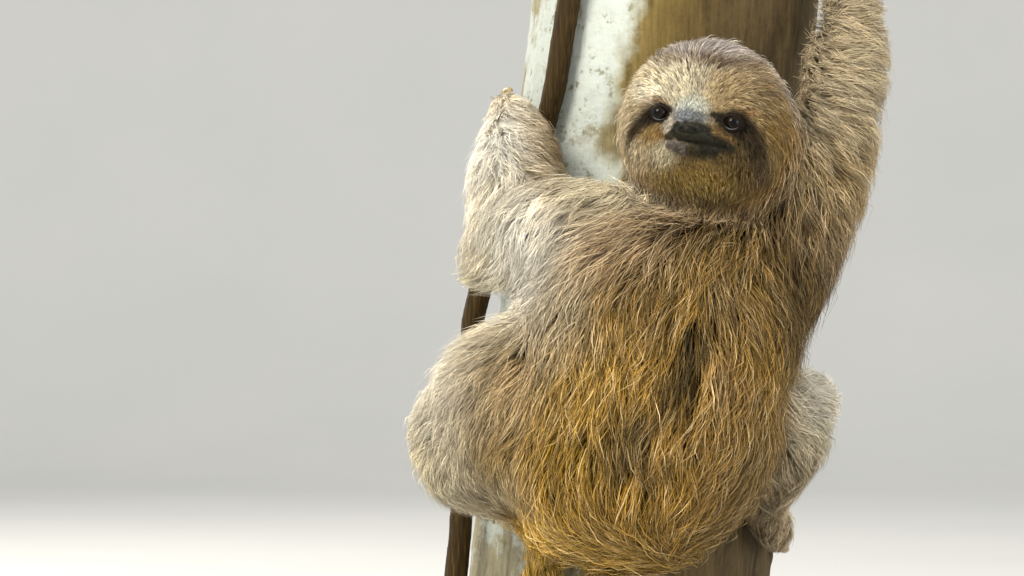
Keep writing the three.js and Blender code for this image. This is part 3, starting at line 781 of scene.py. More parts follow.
# Comb strokes: x, z and the way the hair points, in degrees from +X towards up.
COMB = {
    "BODY": [
        (5, 300, -175), (-20, 305, -175), (-35, 305, -175), (-45, 300, -160), (-45, 285, -140),
        (-65, 295, -135), (-65, 275, -110), (-50, 250, -85), (-45, 230, -80), (-65, 230, -95),
        (-75, 250, -95), (-90, 250, -105), (-15, 280, -120), (-20, 250, -105), (5, 280, -100),
        (10, 260, -110), (5, 240, -120), (0, 220, -110), (-35, 210, -100), (-20, 230, -100),
        (-65, 195, -115), (-95, 220, -125), (-100, 205, -135), (-115, 225, -135),
        (-120, 195, -120), (-90, 185, -120), (-65, 185, -115), (-45, 195, -100), (-20, 190, -90),
        (20, 290, -85), (35, 275, -125), (45, 280, -145), (55, 285, -115), (60, 270, -85),
        (65, 250, -100), (60, 235, -115), (55, 225, -120), (45, 205, -125), (25, 250, -80),
        (35, 250, -55), (45, 235, -75), (50, 220, -105), (35, 225, -70), (40, 210, -95),
        (30, 215, -90), (20, 230, -105), (-110, 175, -120), (-105, 160, -95), (-100, 150, -45),
        (-115, 155, -70), (-75, 160, -105), (-65, 165, -125), (-60, 150, -60), (-45, 140, -60),
        (-35, 160, -85), (-20, 140, -90), (-75, 130, -50), (-65, 120, -20), (-45, 120, -15),
        (-20, 115, -10), (-5, 115, -5), (-10, 195, -110), (10, 195, -100), (30, 200, -110),
        (45, 190, -125), (5, 180, -100), (35, 175, -120), (50, 175, -110), (-20, 165, -95),
        (-10, 150, -95), (10, 155, -115), (40, 155, -120), (35, 130, -150), (15, 120, -170),
        (50, 140, -120), (5, 135, -110), (-52, 313, -165),
    ],
    "HEAD": [
        (12, 388, -95), (4, 390, 180), (-8, 386, -170), (-19, 379, -135), (-28, 370, -110),
        (-32, 361, -105), (-34, 347, -100), (-34, 335, -85), (-29, 321, -70), (-16, 307, -45),
        (20, 389, -10), (27, 386, -15), (38, 381, -30), (46, 375, -40), (58, 366, -55),
        (65, 355, -60), (68, 340, -80), (69, 324, -100), (65, 307, -120), (55, 295, -145),
        (44, 288, -155), (28, 286, -175), (11, 293, 170), (-1, 379, 95), (8, 378, 90),
        (17, 378, 75), (27, 375, 50), (-9, 375, 120), (-15, 370, 150), (-1, 369, 95), (8, 368, 90),
        (19, 369, 65), (31, 367, 30), (38, 362, -20), (42, 355, -60), (45, 347, -80),
        (-15, 367, -165), (-22, 358, -120), (-27, 347, -100), (5, 362, 90), (5, 355, 90),
        (-15, 345, -120), (-9, 345, -130), (-22, 340, -115), (-19, 329, -105), (-8, 329, -95),
        (6, 327, -90), (19, 327, -80), (33, 329, -70), (45, 335, -75), (52, 326, -85),
        (50, 313, -100), (33, 313, -90), (11, 310, -90), (-8, 313, -90), (19, 299, -90),
    ],
    "ARM_L": [
        (-115, 370, -95), (-105, 370, -70), (-90, 365, -60), (-115, 350, -95), (-100, 350, -55),
        (-85, 350, -40), (-120, 330, -95), (-105, 330, -65), (-90, 330, -40), (-75, 330, -45),
        (-65, 320, -80), (-120, 315, -95), (-100, 315, -75), (-85, 315, -90), (-115, 290, -85),
        (-100, 300, -80), (-90, 305, -130), (-75, 300, -140), (-80, 280, -110), (-100, 280, -120),
        (-105, 270, -160), (-120, 270, -170), (-115, 260, -140), (-100, 260, -125),
        (-90, 265, -100), (-60, 312, -150),
    ],
    "ARM_R": [
        (95, 405, 5), (85, 390, -20), (100, 385, -15), (110, 375, -45), (95, 360, -25),
        (80, 335, -70), (95, 340, -30), (105, 335, -60), (90, 320, -60), (100, 305, -65),
        (80, 290, -70), (95, 285, -80), (80, 305, -75), (90, 270, -95), (75, 280, -80),
        (70, 260, -100),
    ],
    "LEG_L": [
        (-130, 230, -135), (-140, 205, -110), (-115, 205, -125), (-145, 175, -150),
        (-140, 165, -130), (-125, 175, -120), (-125, 155, -70), (-140, 150, -70), (-115, 145, -40),
        (-100, 135, -40), (-110, 175, -120), (-80, 110, -85), (-80, 125, -80),
    ],
    "LEG_R": [
        (60, 195, 35), (65, 205, 15), (75, 200, -15), (85, 185, -50), (75, 180, -45),
        (65, 185, -40), (60, 170, -75), (70, 165, -70), (65, 150, -85), (55, 140, -95),
    ],
}


def comb(points, normals, group):
    """Direction of the hair at points whose group is given: the strokes, wrapped round the form."""
    strokes = np.array(COMB[group], float)
    ways = np.radians(strokes[:, 2])
    across = points[:, None, 0] - strokes[None, :, 0]
    up = points[:, None, 2] - strokes[None, :, 1]
    gap = across**2 + up**2
    weight = np.exp(-gap / (2 * STROKE_REACH**2)) + 1e-6 / (1 + gap)  # the nearest one wins far off
    level, rise = weight @ np.cos(ways), weight @ np.sin(ways)
    size = np.hypot(level, rise)
    round_form = unit(normals[:, :2] + np.array([0.0, -0.25]))
    flow = np.stack([-round_form[:, 1] * level / size, round_form[:, 0] * level / size, rise / size], 1)
    flow -= normals * np.sum(flow * normals, 1, keepdims=True)
    return unit(flow)


# ---------- the skin ----------

NEAR_EYE = 6.7  # the lids join the skin this far from the middle of the eye


def mouth_line(right):
    """Height of the mouth at each place across the face."""
    return MOUTH_UP + MOUTH_SMILE * (right - MOUTH_RIGHT) ** 2


def tree_of(points, faces):
    """A search tree over faces, to find the nearest place on them or where a line meets them."""
    return BVHTree.FromPolygons([tuple(p) for p in points], [tuple(face) for face in faces])


def flesh_lookup():
    """A search tree over the CAD flesh, and which part each of its faces belongs to."""
    rows, faces, owner, start = [], [], [], 0
    for index, node in enumerate(FLESH):
        mesh = NODES[node].data
        rows += [v.co / MM for v in mesh.vertices]
        faces += [[start + v for v in face.vertices] for face in mesh.polygons]
        owner += [index] * len(mesh.polygons)
        start += len(mesh.vertices)
    return tree_of(rows, faces), np.array(owner)


def per_part(table, part):
    """A table's value at each point whose part is given. Left and right share one."""
    shared = [node.removesuffix("_left").removesuffix("_right") for node in FLESH]
    return np.array([table[name] for name in shared])[part]


def head_coat_depth(local):
    """How deep the coat is on the head: almost bare at the muzzle, deeper back over the cheeks."""
    right, forward, up = local.T
    from_muzzle = np.hypot(right, up + 6)
    cheek = 1.0 + 6.0 * smoothstep(from_muzzle, 18, 50)
    back = 7.5 - 2.0 * smoothstep(up, 10, 40)
    return cheek + (back - cheek) * smoothstep(-forward, -16, 4)


def thickness_of(points, normals, tree):
    """How thick the flesh is behind each point."""
    depth = np.full(len(points), 80.0)
    for i, (point, normal) in enumerate(zip(points, normals)):
        hit = tree.ray_cast(Vector(point - normal * 0.5), Vector(-normal), 80.0)
        if hit[3] is not None:
            depth[i] = hit[3] + 0.5
    return depth


def face_relief(local):
    """How far the bare face stands forward of a plain muzzle: lips, mouth, cheeks, brow and sockets."""
    right, forward, up = local.T
    relief = np.zeros(len(local))
    over_mouth = up - mouth_line(right)
    in_mouth = 1 - smoothstep(np.abs(right - MOUTH_RIGHT), MOUTH_WIDE - 4, MOUTH_WIDE + 1)
    relief -= 3.0 * bell(over_mouth, 0.9) * in_mouth
    relief += 0.9 * bell(over_mouth - 3.2, 2.2) * in_mouth
    relief += 1.3 * bell(over_mouth + 3.0, 2.2) * (1 - smoothstep(np.abs(right), 8, 17))
    relief -= 0.8 * bell(over_mouth + 7.5, 2.6) * (1 - smoothstep(np.abs(right), 8, 17))
    relief += 1.2 * bell(right, 6.5) * bell(up - 2, 8)  # bridge of the nose
    for way in (-1, 1):
        away = np.hypot(right - EYE_PLACE[way], up - EYE_UP)
        relief += 0.8 * bell(np.hypot((right - way * 21) / 1.6, up - 12), 5)  # brow
        relief -= 0.7 * bell(np.hypot(right - way * 12.5, up - 0.5), 4)  # inner corner
        inside = 1 - smoothstep(away, EYE_RADIUS - 0.6, NEAR_EYE)
        relief += inside * (EYE_FORWARD - 1.5 - forward - relief)
    return relief


def make_skin():
    """One closed skin for the whole animal, inside the coat by its depth, finer on the face."""
    skin = copy_of("sloth_skin", FLESH + ["eye_left", "eye_right", "nose"])
    remesh(skin, CELL["skin"])
    keep_largest_shell(skin)
    modify(skin, "SMOOTH", factor=0.5, iterations=5)
    for reach in (38, 27):
        local = to_head(points_of(skin))
        near = (local[:, 1] > 18) & (np.hypot(local[:, 0] * 0.95, local[:, 2] + 3) < reach)
        subdivide_where(skin, near)
    points, edges = points_of(skin), edges_of(skin)
    normals = unit(relax(normals_of(skin), edges, 14))
    tree, owner = flesh_lookup()
    part = np.array([owner[tree.find_nearest(Vector(p))[2]] for p in points])
    depth = per_part(COAT_DEPTH, part)
    head_share = relax((part == FLESH.index("head")).astype(float), edges, 10)
    depth = relax(depth, edges, 30)
    depth = mix(depth, head_coat_depth(to_head(points)), head_share)
    body = tree_of(points, [face.vertices for face in skin.data.polygons])
    # Thin forms, such as fingers, keep at least a quarter of their thickness.
    depth = np.minimum(depth, 0.36 * relax(thickness_of(points, normals, body), edges, 6))
    inner = points - normals * depth[:, None]
    calm = relax(inner, edges, 6)
    local = to_head(inner)
    face = smoothstep(local[:, 1], 14, 24) * (head_share > 0.6)
    inner = mix(calm, inner, face[:, None])
    local = to_head(inner)
    local[:, 1] += face_relief(local) * face
    inner = from_head(local)
    set_points(skin, inner)
    coat = markings(inner, head_share)
    point_values(skin, "coat", coat, "FLOAT_COLOR")
    # Under long hair the skin is shaded; on the face the short hair hardly shades it.
    short = face * (1 - smoothstep(depth, 1.5, 5))
    shade = 0.34 + 0.42 * smoothstep(coat.mean(1), 0.25, 0.6) + 0.5 * short
    shade = np.minimum(shade, 0.9)
    point_values(skin, "underfur", shade)
    finish_piece(skin, hide_material(), FLESH)
    return skin, part, depth, head_share


skin, skin_part, skin_depth, skin_head = make_skin()
skin_points = points_of(skin)
skin_normals = normals_of(skin)
skin_edges = edges_of(skin)
skin.data.calc_loop_triangles()
triangles = rows_of(skin.data.loop_triangles, "vertices", 3, np.int32)
skin_tree = tree_of(skin_points, triangles.tolist())


def skin_forward(right, up):
    """How far forward the skin of the face reaches, at a place in the head's frame."""
    start = Vector(from_head([right, 90, up]))
    towards = Vector(from_head([right, 0, up])) - start
    hit = skin_tree.ray_cast(start, towards.normalized())
    return to_head(np.array([hit[0]]))[0][1]


# ---------- eyes, lids and nose ----------


def make_eye(side, way):
    """An eyeball with a cornea that stands a little proud, looking forward and slightly out."""
    clear_selection()
    bpy.ops.mesh.primitive_uv_sphere_add(segments=40, ring_count=24, radius=1)
    eye = bpy.context.object
    eye.name = f"eyeball_{side}"
    ball = points_of(eye) * MM  # unit sphere, pupil at +Z
    from_pupil = np.arccos(np.clip(ball[:, 2], -1, 1)) / math.radians(60)
    cornea = 1 + 0.07 * bell(from_pupil, 0.75)
    ball = ball * cornea[:, None] * EYE_RADIUS
    gaze = unit(np.array([way * 0.22, 1.0, -0.04]))
    across = unit(np.cross(gaze, [0, 0, 1.0]))
    over = np.cross(across, gaze)
    local = ball @ np.stack([across, over, gaze]) + np.array([EYE_PLACE[way], EYE_FORWARD, EYE_UP])
    set_points(eye, from_head(local))
    face_outwards(eye)
    point_values(eye, "from_pupil", np.clip(from_pupil, 0, 1))
    finish_piece(eye, EYE_FINISH, [f"eye_{side}"])


def make_lids(side, way):
    """Upper and lower lid as one thick rim that lies on the eyeball and runs out into the skin."""
    around, across = 56, 7
    rim_radius = EYE_RADIUS * 1.03 + 0.2
    outer_corner = 0.2 if way < 0 else math.pi - 0.2
    rows, painted_rim_reflection = [], []
    for i in range(around):
        turn = 2 * math.pi * i / around
        lid_up = math.sin(turn)
        wide = EYE_OPEN_WIDE * (1 + 0.1 * bell(turn - outer_corner, 0.35))
        high = EYE_OPEN_HIGH * (0.9 if lid_up > 0 else 1.0)
        x, z = wide * math.cos(turn), high * lid_up
        rim = np.array([x, math.sqrt(max(rim_radius**2 - x * x - z * z, 1.0)), z])
        out_x, out_z = NEAR_EYE * 1.04 * math.cos(turn), NEAR_EYE * 0.96 * lid_up
        meet = skin_forward(EYE_PLACE[way] + out_x, EYE_UP + out_z) - EYE_FORWARD - 0.35
        outer = np.array([out_x, meet, out_z])
        front, behind = [], []
        for j in range(across):
            t = j / (across - 1)
            point = rim * (1 - t) + outer * t
            fold = (0.8 if lid_up > 0 else 0.5) * math.sin(math.pi * min(1, t * 1.15)) ** 1.4
            fold -= 0.35 * bell(t - 0.62, 0.12)  # the crease
            front.append(point + np.array([0, fold + 0.25, 0]))
            behind.append(point - np.array([0, 0.75 + 0.4 * t, 0]))
        rows.append(front + behind[::-1])
        # The inner edge of the lower lid carries the painted reflection of its wet rim.
        below = smoothstep(-lid_up, 0.55, 0.95)
        painted_rim_reflection += [below * (j == 0) for j in range(across)] + [0.0] * across
    rows = np.array(rows)
    loop = rows.shape[1]
    local = rows.reshape(-1, 3) + np.array([EYE_PLACE[way], EYE_FORWARD, EYE_UP])
    faces = []
    for i in range(around):
        for j in range(loop):
            a, b = i * loop + j, i * loop + (j + 1) % loop
            c, d = ((i + 1) % around) * loop + (j + 1) % loop, ((i + 1) % around) * loop + j
            faces.append((a, b, c, d))
    mesh = bpy.data.meshes.new(f"eyelids_{side}")
    mesh.from_pydata([tuple(p * MM) for p in from_head(local)], [], faces)
    lids = put_in_scene(f"eyelids_{side}", mesh)
    face_outwards(lids)
    point_values(lids, "painted_rim_reflection", np.array(painted_rim_reflection))
    modify(lids, "SUBSURF", levels=1, render_levels=1)
    finish_piece(lids, LID_FINISH)


def make_nose():
    """The nose pad: two comma-shaped nostrils, a shallow groove between them, rounded wings."""
    nose = copy_of("nose_pad", ["nose"])
    remesh(nose, CELL["nose"])
    modify(nose, "SMOOTH", factor=0.5, iterations=36)
    local = to_head(points_of(nose))
    middle = 0.5 * (local[:, 2].min() + local[:, 2].max())
    local[:, 2] = NOSE_UP + (local[:, 2] - middle) * NOSE_HIGH / (local[:, 2].max() - middle)
    right, forward, up = local.T
    high = up - NOSE_UP
    side = np.abs(right)
    # The front of the pad is a low cushion that sinks into the muzzle round its rim.
    rim = np.hypot(right / NOSE_WIDE, high / NOSE_HIGH)
    muzzle = relax(np.array([skin_forward(x, z) for x, z in zip(right, up)]), edges_of(nose), 60)
    cushion = muzzle + 1.0 - 1.3 * np.minimum(rim, 1.1) ** 2
    back = forward.min()
    front = smoothstep(forward, back, forward.max() - 1.0)
    local[:, 1] = back + (cushion - back) * front
    outwards = side - NOSTRIL_SIDE
    pit = bell(np.hypot(outwards / 1.1, (high - 0.2 + 0.35 * outwards) / 0.75), 1.0)
    groove = bell(right, 0.7) * smoothstep(-high, -1, 2)
    local[:, 1] -= (0.6 * pit + 0.15 * groove) * front
    set_points(nose, from_head(local))
    # The nostril value marks the pits for their painted shade.
    point_values(nose, "nostril_shade", np.clip(2.6 * pit, 0, 1))
    modify(nose, "SMOOTH", factor=0.4, iterations=2)
    finish_piece(nose, nose_material(), ["nose"])


EYE_FINISH, LID_FINISH = eye_material(), bare_skin_material()
for side, way in (("left", -1), ("right", 1)):
    make_eye(side, way)
    make_lids(side, way)
make_nose()

# ---------- claws ----------

HORN = claw_material()
for limb in ("hand", "foot"):
    for side in SIDES:
        for digit in (1, 2, 3):
            node = f"{limb}_{side}_claw_{digit}"
            claw = copy_of(f"horn_{node}", [node])
            modify(claw, "SUBSURF", levels=1, render_levels=1)
            from_skin = np.array([skin_tree.find_nearest(Vector(p))[3] for p in points_of(claw)])
            point_values(claw, "root", 1 - smoothstep(from_skin, 4, 10))
            finish_piece(claw, HORN, [node])

# ---------- perch and stand ----------


def relief_noise(points, wide, high, shift=(0, 0, 0)):
    """Soft noise at each point, as wide and as high as given, in millimetres."""
    moved = [Vector((x / wide, y / wide, z / high)) + Vector(shift) for x, y, z in points]
    return np.array([noise.noise(place) for place in moved])


def make_bark():
    """The trunk's bark: lengthwise furrows, scabs of lichen that stand proud, shallow scars."""
    trunk = copy_of("trunk_bark", ["perch_trunk"])
    remesh(trunk, CELL["bark"])
    points, normals = points_of(trunk), normals_of(trunk)
    side = 1 - smoothstep(np.abs(normals[:, 2]), 0.4, 0.8)
    furrows = relief_noise(points, 9, 70)
    lumps = relief_noise(points, 30, 34, (7, 3, 1))
    scabs = np.maximum(0.0, relief_noise(points, 6, 7, (1, 9, 4)))
    relief = 1.3 * furrows + 1.6 * lumps + 0.9 * scabs
    set_points(trunk, points + normals * (relief * side - 0.6)[:, None])
    finish_piece(trunk, bark_material(), ["perch_trunk"])
    trunk.data.materials.append(cut_wood_material())
    ends = np.zeros(len(trunk.data.polygons), np.int32)
    for i, face in enumerate(trunk.data.polygons):
        at_end = abs(face.center.z / MM - BARK_TOP) < 2.5 or abs(face.center.z / MM - BARK_BOTTOM) < 2.5
        ends[i] = int(at_end and abs(face.normal.z) > 0.8)
    trunk.data.polygons.foreach_set("material_index", ends)


def make_liana():
    """The climbing stem: slightly knotted, with fibres that run along it."""
    stem = copy_of("liana_stem", ["perch_liana"])
    remesh(stem, CELL["liana"])
    modify(stem, "SMOOTH", factor=0.5, iterations=4)
    points, normals = points_of(stem), normals_of(stem)
    relief = 0.7 * relief_noise(points, 14, 40) + 0.35 * relief_noise(points, 2.2, 30)
    set_points(stem, points + normals * relief[:, None])
    finish_piece(stem, liana_material(), ["perch_liana"])


make_bark()
make_liana()
steel = brushed_steel_material()
STAND_FINISHES = {"stand_base": lacquered_wood_material(), "stand_rod_1": steel, "stand_rod_2": steel}
for node, finish in STAND_FINISHES.items():
    NODES[node].data.materials.clear()
    NODES[node].data.materials.append(finish)

# ---------- the coat ----------

# Tufts that stand free of the body at their tips: x, z, reach.
FREE_TUFTS = [(-124, 264, 15), (-148, 164, 18), (84, 176, 14), (68, 150, 14), (-20, 112, 26)]
RISE = np.array([-0.12, 0.62, 0.96, 1.02])  # height of a hair above the skin, in coat depths
HAIR_GIRTH = np.array([0.8, 1.0, 0.7])  # its width along its length, before the tip
STRAY = 0.2  # how far a lock turns off the lie of the coat, in radians
GATHER = (0.3, 0.95)  # how close a lock's tips are drawn together
WAVE = 0.042  # how far a hair swings to a side, by its length
STANDING = 0.06  # share of the hairs that stand out of the coat
FRIZZY = 0.13  # share of the hairs with a much wider swing
MAP_PATCH = 0.003  # size of a hair's patch on the map
BARK_GAP = 1.5  # how far hair stays off the bark


def make_flow():
    """Direction of the hair at each skin point, smooth from one part to the next."""
    flow = np.zeros_like(skin_points)
    group_of_part = np.array([GROUP_OF[node] for node in FLESH])[skin_part]
    for group in COMB:
        chosen = group_of_part == group
        flow[chosen] = comb(skin_points[chosen], skin_normals[chosen], group)
    flow = relax(flow, skin_edges, 14)
    flow -= skin_normals * np.sum(flow * skin_normals, 1, keepdims=True)
    return unit(flow)


def hair_lengths():
    """Length of the hair at each skin point: shortest round the nose, longest on the back and ruff."""
    right, forward, up = to_head(skin_points).T
    from_nose = np.hypot(right, up + 4)
    on_face = 2.2 + 0.19 * np.maximum(from_nose - 8, 0) + 7 * smoothstep(from_nose, 34, 50)
    on_face += 5 * smoothstep(-right, 32, 44) * smoothstep(-up, -20, 0) + 7 * smoothstep(right, 28, 42)
    on_face *= 1 - 0.35 * smoothstep(-right, 22, 34) * smoothstep(up, 0, 10)
    ruff = 18 + 13 * smoothstep(-up, -6, 26)
    on_head = on_face + (ruff - on_face) * smoothstep(-forward, -20, -2)
    on_head -= 5 * smoothstep(up, 18, 38) * smoothstep(-forward, -20, 0)
    base = relax(per_part(HAIR_LENGTH, skin_part), skin_edges, 16)
    return mix(base, on_head, skin_head)


skin_flow = make_flow()
skin_length = hair_lengths()
skin_colour = rows_of(skin.data.color_attributes["coat"].data, "color", 4)[:, :3].astype(float)


def unwrap(name, chosen):
    """Lays the chosen triangles of the skin flat by their own shape: three map places a triangle."""
    used, index = np.unique(triangles[chosen], return_inverse=True)
    mesh = bpy.data.meshes.new(name)
    mesh.from_pydata([tuple(p * MM) for p in skin_points[used]], [], index.reshape(-1, 3).tolist())
    piece = put_in_scene(name, mesh)
    make_active(piece)
    with everything_selected():
        bpy.ops.uv.smart_project(angle_limit=math.radians(70), island_margin=0.006)
    places = rows_of(mesh.uv_layers.active.data, "uv", 2)
    bpy.data.objects.remove(piece)
    bpy.data.meshes.remove(mesh)
    return places.reshape(-1, 3, 2).astype(float)


def nearest_on_skin(points):
    """The closest skin point, and which triangle it is on, for each point."""
    found = [skin_tree.find_nearest(Vector(p)) for p in points]
    return np.array([tuple(f[0]) for f in found]), np.array([f[2] for f in found])


def mean_at(values, which):
    """Mean of the skin's values over each triangle given."""
    return values[triangles[which]].mean(1)


def trace_locks(roots, which, length, rng):
    """Follows the lie of the coat from each root. Gives the place, normal, coat depth and colour of
    each row."""
    rows = len(RISE)
    place, face = roots, which
    hug = np.ones(len(roots)) * 0.9
    for x, z, reach in FREE_TUFTS:
        hug -= 0.6 * bell(np.hypot(roots[:, 0] - x, roots[:, 2] - z), reach)
    hug = np.clip(hug, 0.25, 0.9)[:, None]
    # Neighbouring locks turn together, over 18 mm or so, and each a little by itself.
    turn = rng.normal(0, STRAY, len(roots)) + 0.5 * relief_noise(roots, 18, 18)
    way = None
    places, normals, depths, tints = [], [], [], []
    for row in range(rows):
        normal = unit(mean_at(skin_normals, face))
        flow = unit(mean_at(skin_flow, face))
        side = np.cross(normal, flow)
        flow = flow * np.cos(turn)[:, None] + side * np.sin(turn)[:, None]
        # Hair is too stiff to turn at once.
        way = flow if way is None else unit(0.45 * way + 0.55 * flow)
        places.append(place)
        normals.append(normal)
        depths.append(mean_at(skin_depth, face))
        tints.append(mean_at(skin_colour, face))
        if row < rows - 1:
            free = place + way * (length / (rows - 1))[:, None]
            near, face = nearest_on_skin(free)
            place = near * hug + free * (1 - hug)
    return np.stack(places, 1), np.stack(normals, 1), np.stack(depths, 1), np.stack(tints, 1)


def clear_of_bark(points):
    """Moves points out of the trunk."""
    flat = points.reshape(-1, 3)
    centre = bark_axis(flat[:, 2])
    out = flat[:, :2] - centre
    away = np.linalg.norm(out, axis=1)
    inside = (away < BARK_RADIUS + BARK_GAP) & (flat[:, 2] > BARK_BOTTOM - 5)
    scale = np.where(inside, (BARK_RADIUS + BARK_GAP) / np.maximum(away, 1), 1.0)
    flat[:, :2] = centre + out * scale[:, None]
    return flat.reshape(points.shape)


def clear_of_face(points):
    """Which hairs leave the eyes, the nose pad and the mouth clear."""
    right, forward, up = np.moveaxis(to_head(points.reshape(-1, 3)).reshape(points.shape), -1, 0)
    front = forward > 20
    bad = np.zeros(right.shape, bool)
    for way in (-1, 1):
        away = np.hypot((right - EYE_PLACE[way]) / EYE_OPEN_WIDE, (up - EYE_UP) / EYE_OPEN_HIGH)
        bad |= front & (away < 1.28)
    # The short hairs round the nose pad lie over its sunken rim.
    pad = np.hypot(right / NOSE_WIDE, (up - NOSE_UP) / NOSE_HIGH)
    bad |= (forward > 40) & (pad < 0.84)
    # A hair may come closer to the mouth with its tip than with its root.
    lips = np.abs(up - mouth_line(right)) < np.where(np.arange(points.shape[-2]) == 0, 1.0, 0.5)
    bad |= front & lips & (np.abs(right - MOUTH_RIGHT) < MOUTH_WIDE - 1)
    return ~bad.any(-1)


def hair_faces(hairs, rings):
    """Corners of closed three-sided hairs, first all the quads round them, then all the triangles."""
    last, tip = 3 * (rings - 1), 3 * rings
    sides = ((0, 1), (1, 2), (2, 0))
    quads = [(ring + a, ring + 3 + a, ring + 3 + b, ring + b)
             for ring in range(0, last, 3) for a, b in sides]
    ends = [(last + a, tip, last + b) for a, b in sides] + [(0, 1, 2)]
    start = (np.arange(hairs) * (tip + 1))[:, None, None]
    return [(np.array(faces)[None] + start).reshape(-1).astype(np.int32) for faces in (quads, ends)]


def hair_mesh(name, rows, normals, girth, colour, place):
    """Closed three-sided hairs from their centre lines: rows is hair, row, xyz, colour the same."""
    hairs, count = rows.shape[:2]
    ahead = np.empty_like(rows)
    ahead[:, 1:-1] = rows[:, 2:] - rows[:, :-2]
    ahead[:, 0] = rows[:, 1] - rows[:, 0]
    ahead[:, -1] = rows[:, -1] - rows[:, -2]
    ahead = unit(ahead)
    side = unit(np.cross(ahead, normals))
    up = np.cross(side, ahead)
    rings = count - 1
    profile = np.interp(np.linspace(0, 1, rings), np.linspace(0, 1, len(HAIR_GIRTH)), HAIR_GIRTH)
    half = (girth[:, None] * profile[None])[:, :, None] * 0.5
    base = rows[:, :rings]
    ring = np.stack([base - side[:, :rings] * half, base + side[:, :rings] * half,
                     base + up[:, :rings] * half * 1.1], 2)
    points = np.concatenate([ring.reshape(hairs, rings * 3, 3), rows[:, -1:]], 1).reshape(-1, 3)
    quads, ends = hair_faces(hairs, rings)
    loops = np.concatenate([quads, ends])
    starts = np.concatenate([np.arange(0, len(quads), 4), np.arange(len(quads), len(loops), 3)])
    mesh = bpy.data.meshes.new(name)
    mesh.vertices.add(len(points))
    mesh.vertices.foreach_set("co", (points * MM).astype(np.float32).ravel())
    mesh.loops.add(len(loops))
    mesh.loops.foreach_set("vertex_index", loops)
    mesh.polygons.add(len(starts))
    mesh.polygons.foreach_set("loop_start", starts.astype(np.int32))
    mesh.update(calc_edges=True)
    # Each hair is one small patch of the map, at its root's place.
    along = np.concatenate([np.repeat(np.arange(rings) / rings, 3), [1.0]])
    across = np.concatenate([np.tile([0.0, 0.5, 1.0], rings), [0.5]])
    patch = np.stack([across - 0.5, along - 0.5], -1) * MAP_PATCH
    at = (place[:, None] + patch[None]).reshape(-1, 2)
    layer = mesh.uv_layers.new(name="OFBake")
    layer.data.foreach_set("uv", at[loops].astype(np.float32).ravel())
    piece = put_in_scene(name, mesh)
    tints = np.concatenate([np.repeat(colour[:, :rings], 3, 1), colour[:, -1:]], 1)
    point_values(piece, "coat", tints.reshape(-1, 3), "FLOAT_COLOR")
    point_values(piece, "along", np.tile(along, hairs))
    return piece


def scatter_locks(name, chosen, count, rng):
    """Roots of locks on the chosen triangles: place, place on the map, and triangle."""
    which = np.flatnonzero(chosen)
    corners = skin_points[triangles[which]]
    edge, other = corners[:, 1] - corners[:, 0], corners[:, 2] - corners[:, 0]
    area = 0.5 * np.linalg.norm(np.cross(edge, other), axis=1)
    weight = area * seen[which]
    places = unwrap(name + "_map", which)
    pick = rng.choice(len(which), count, p=weight / weight.sum())
    shares = rng.dirichlet((1, 1, 1), count)
    roots = np.einsum("lc,lcx->lx", shares, corners[pick])
    at = np.einsum("lc,lcx->lx", shares, places[pick])
    return roots, at, which[pick]


def part_hairs(path, normals, depth, tints, length, own, rows, spread, rng):
    """Hairs of the locks that own them: roots apart, tips drawn together, each with its own wave.
    Gives the centre line, the way out of the coat and the colour of each."""
    count, steps = len(own), path.shape[1] - 1
    t = np.linspace(0, 1, rows)
    reach = t[None] * rng.uniform(0.6, 1.12, count)[:, None] * steps
    low = np.clip(np.floor(reach).astype(int), 0, steps - 1)
    past = (reach - low)[..., None]

    def on_lock(values):
        return values[own[:, None], low] * (1 - past) + values[own[:, None], low + 1] * past

    line, up, tint = on_lock(path), unit(on_lock(normals)), on_lock(tints)
    deep = on_lock(depth[..., None])[..., 0]
    lift = rng.uniform(0.5, 1.06, count) + 0.3 * (rng.uniform(0, 1, count) < STANDING)
    ahead = unit(path[own, 1] - path[own, 0])
    side = np.cross(normals[own, 0], ahead)
    radius = spread * np.sqrt(rng.uniform(0, 1, count))
    turn = rng.uniform(0, 2 * math.pi, count)
    apart = (side * np.cos(turn)[:, None] + ahead * np.sin(turn)[:, None]) * radius[:, None]
    pull = rng.uniform(*GATHER, len(path))[own]
    line = line + apart[:, None] * (1 - pull[:, None] * t[None] ** 0.9)[..., None]
    wave = rng.normal(0, 1, (count, 1)) * np.sin(t * math.pi)[None]
    wave = wave + rng.normal(0, 0.8, (count, 1)) * t[None] ** 2
    frizzy = rng.uniform(0, 1, count) < FRIZZY
    swing = length[own] * WAVE
    wave = wave * swing[:, None] * np.where(frizzy, 2.4, 1.0)[:, None]
    line = line + side[:, None] * wave[..., None]
    rise = np.interp(t, np.linspace(0, 1, len(RISE)), RISE)
    lift = lift * np.where(frizzy, 1.15, 1.0)
    line = line + up * (rise[None] * deep * lift[:, None])[..., None]
    return clear_of_bark(line), up, tint


def tint_hairs(tint, from_nose, on_head, rng):
    """Two hairs in ten are worn pale and two are dark. Pale fur and the short fur of the face are more
    even."""
    count = len(tint)
    kind = rng.choice([1.0, 1.9, 0.42], count, p=[0.62, 0.19, 0.19])
    kind = kind * rng.normal(1.0, 0.15, count).clip(0.6, 1.4)
    uneven = 1 - 0.7 * smoothstep(tint.mean((1, 2)), 0.25, 0.65)
    uneven = mix(uneven, 0.4 + 0.6 * smoothstep(from_nose, 18, 34), on_head)
    tint = tint * (kind**uneven)[:, None, None]
    # A worn hair also turns towards straw, and is a little brighter for it.
    straw = rgb(CREAM) * tint.mean(2, keepdims=True) / 0.62
    return mix(tint, straw, (0.45 * (kind > 1.5))[:, None, None])


HAIR_FINISH = guard_hair_material()


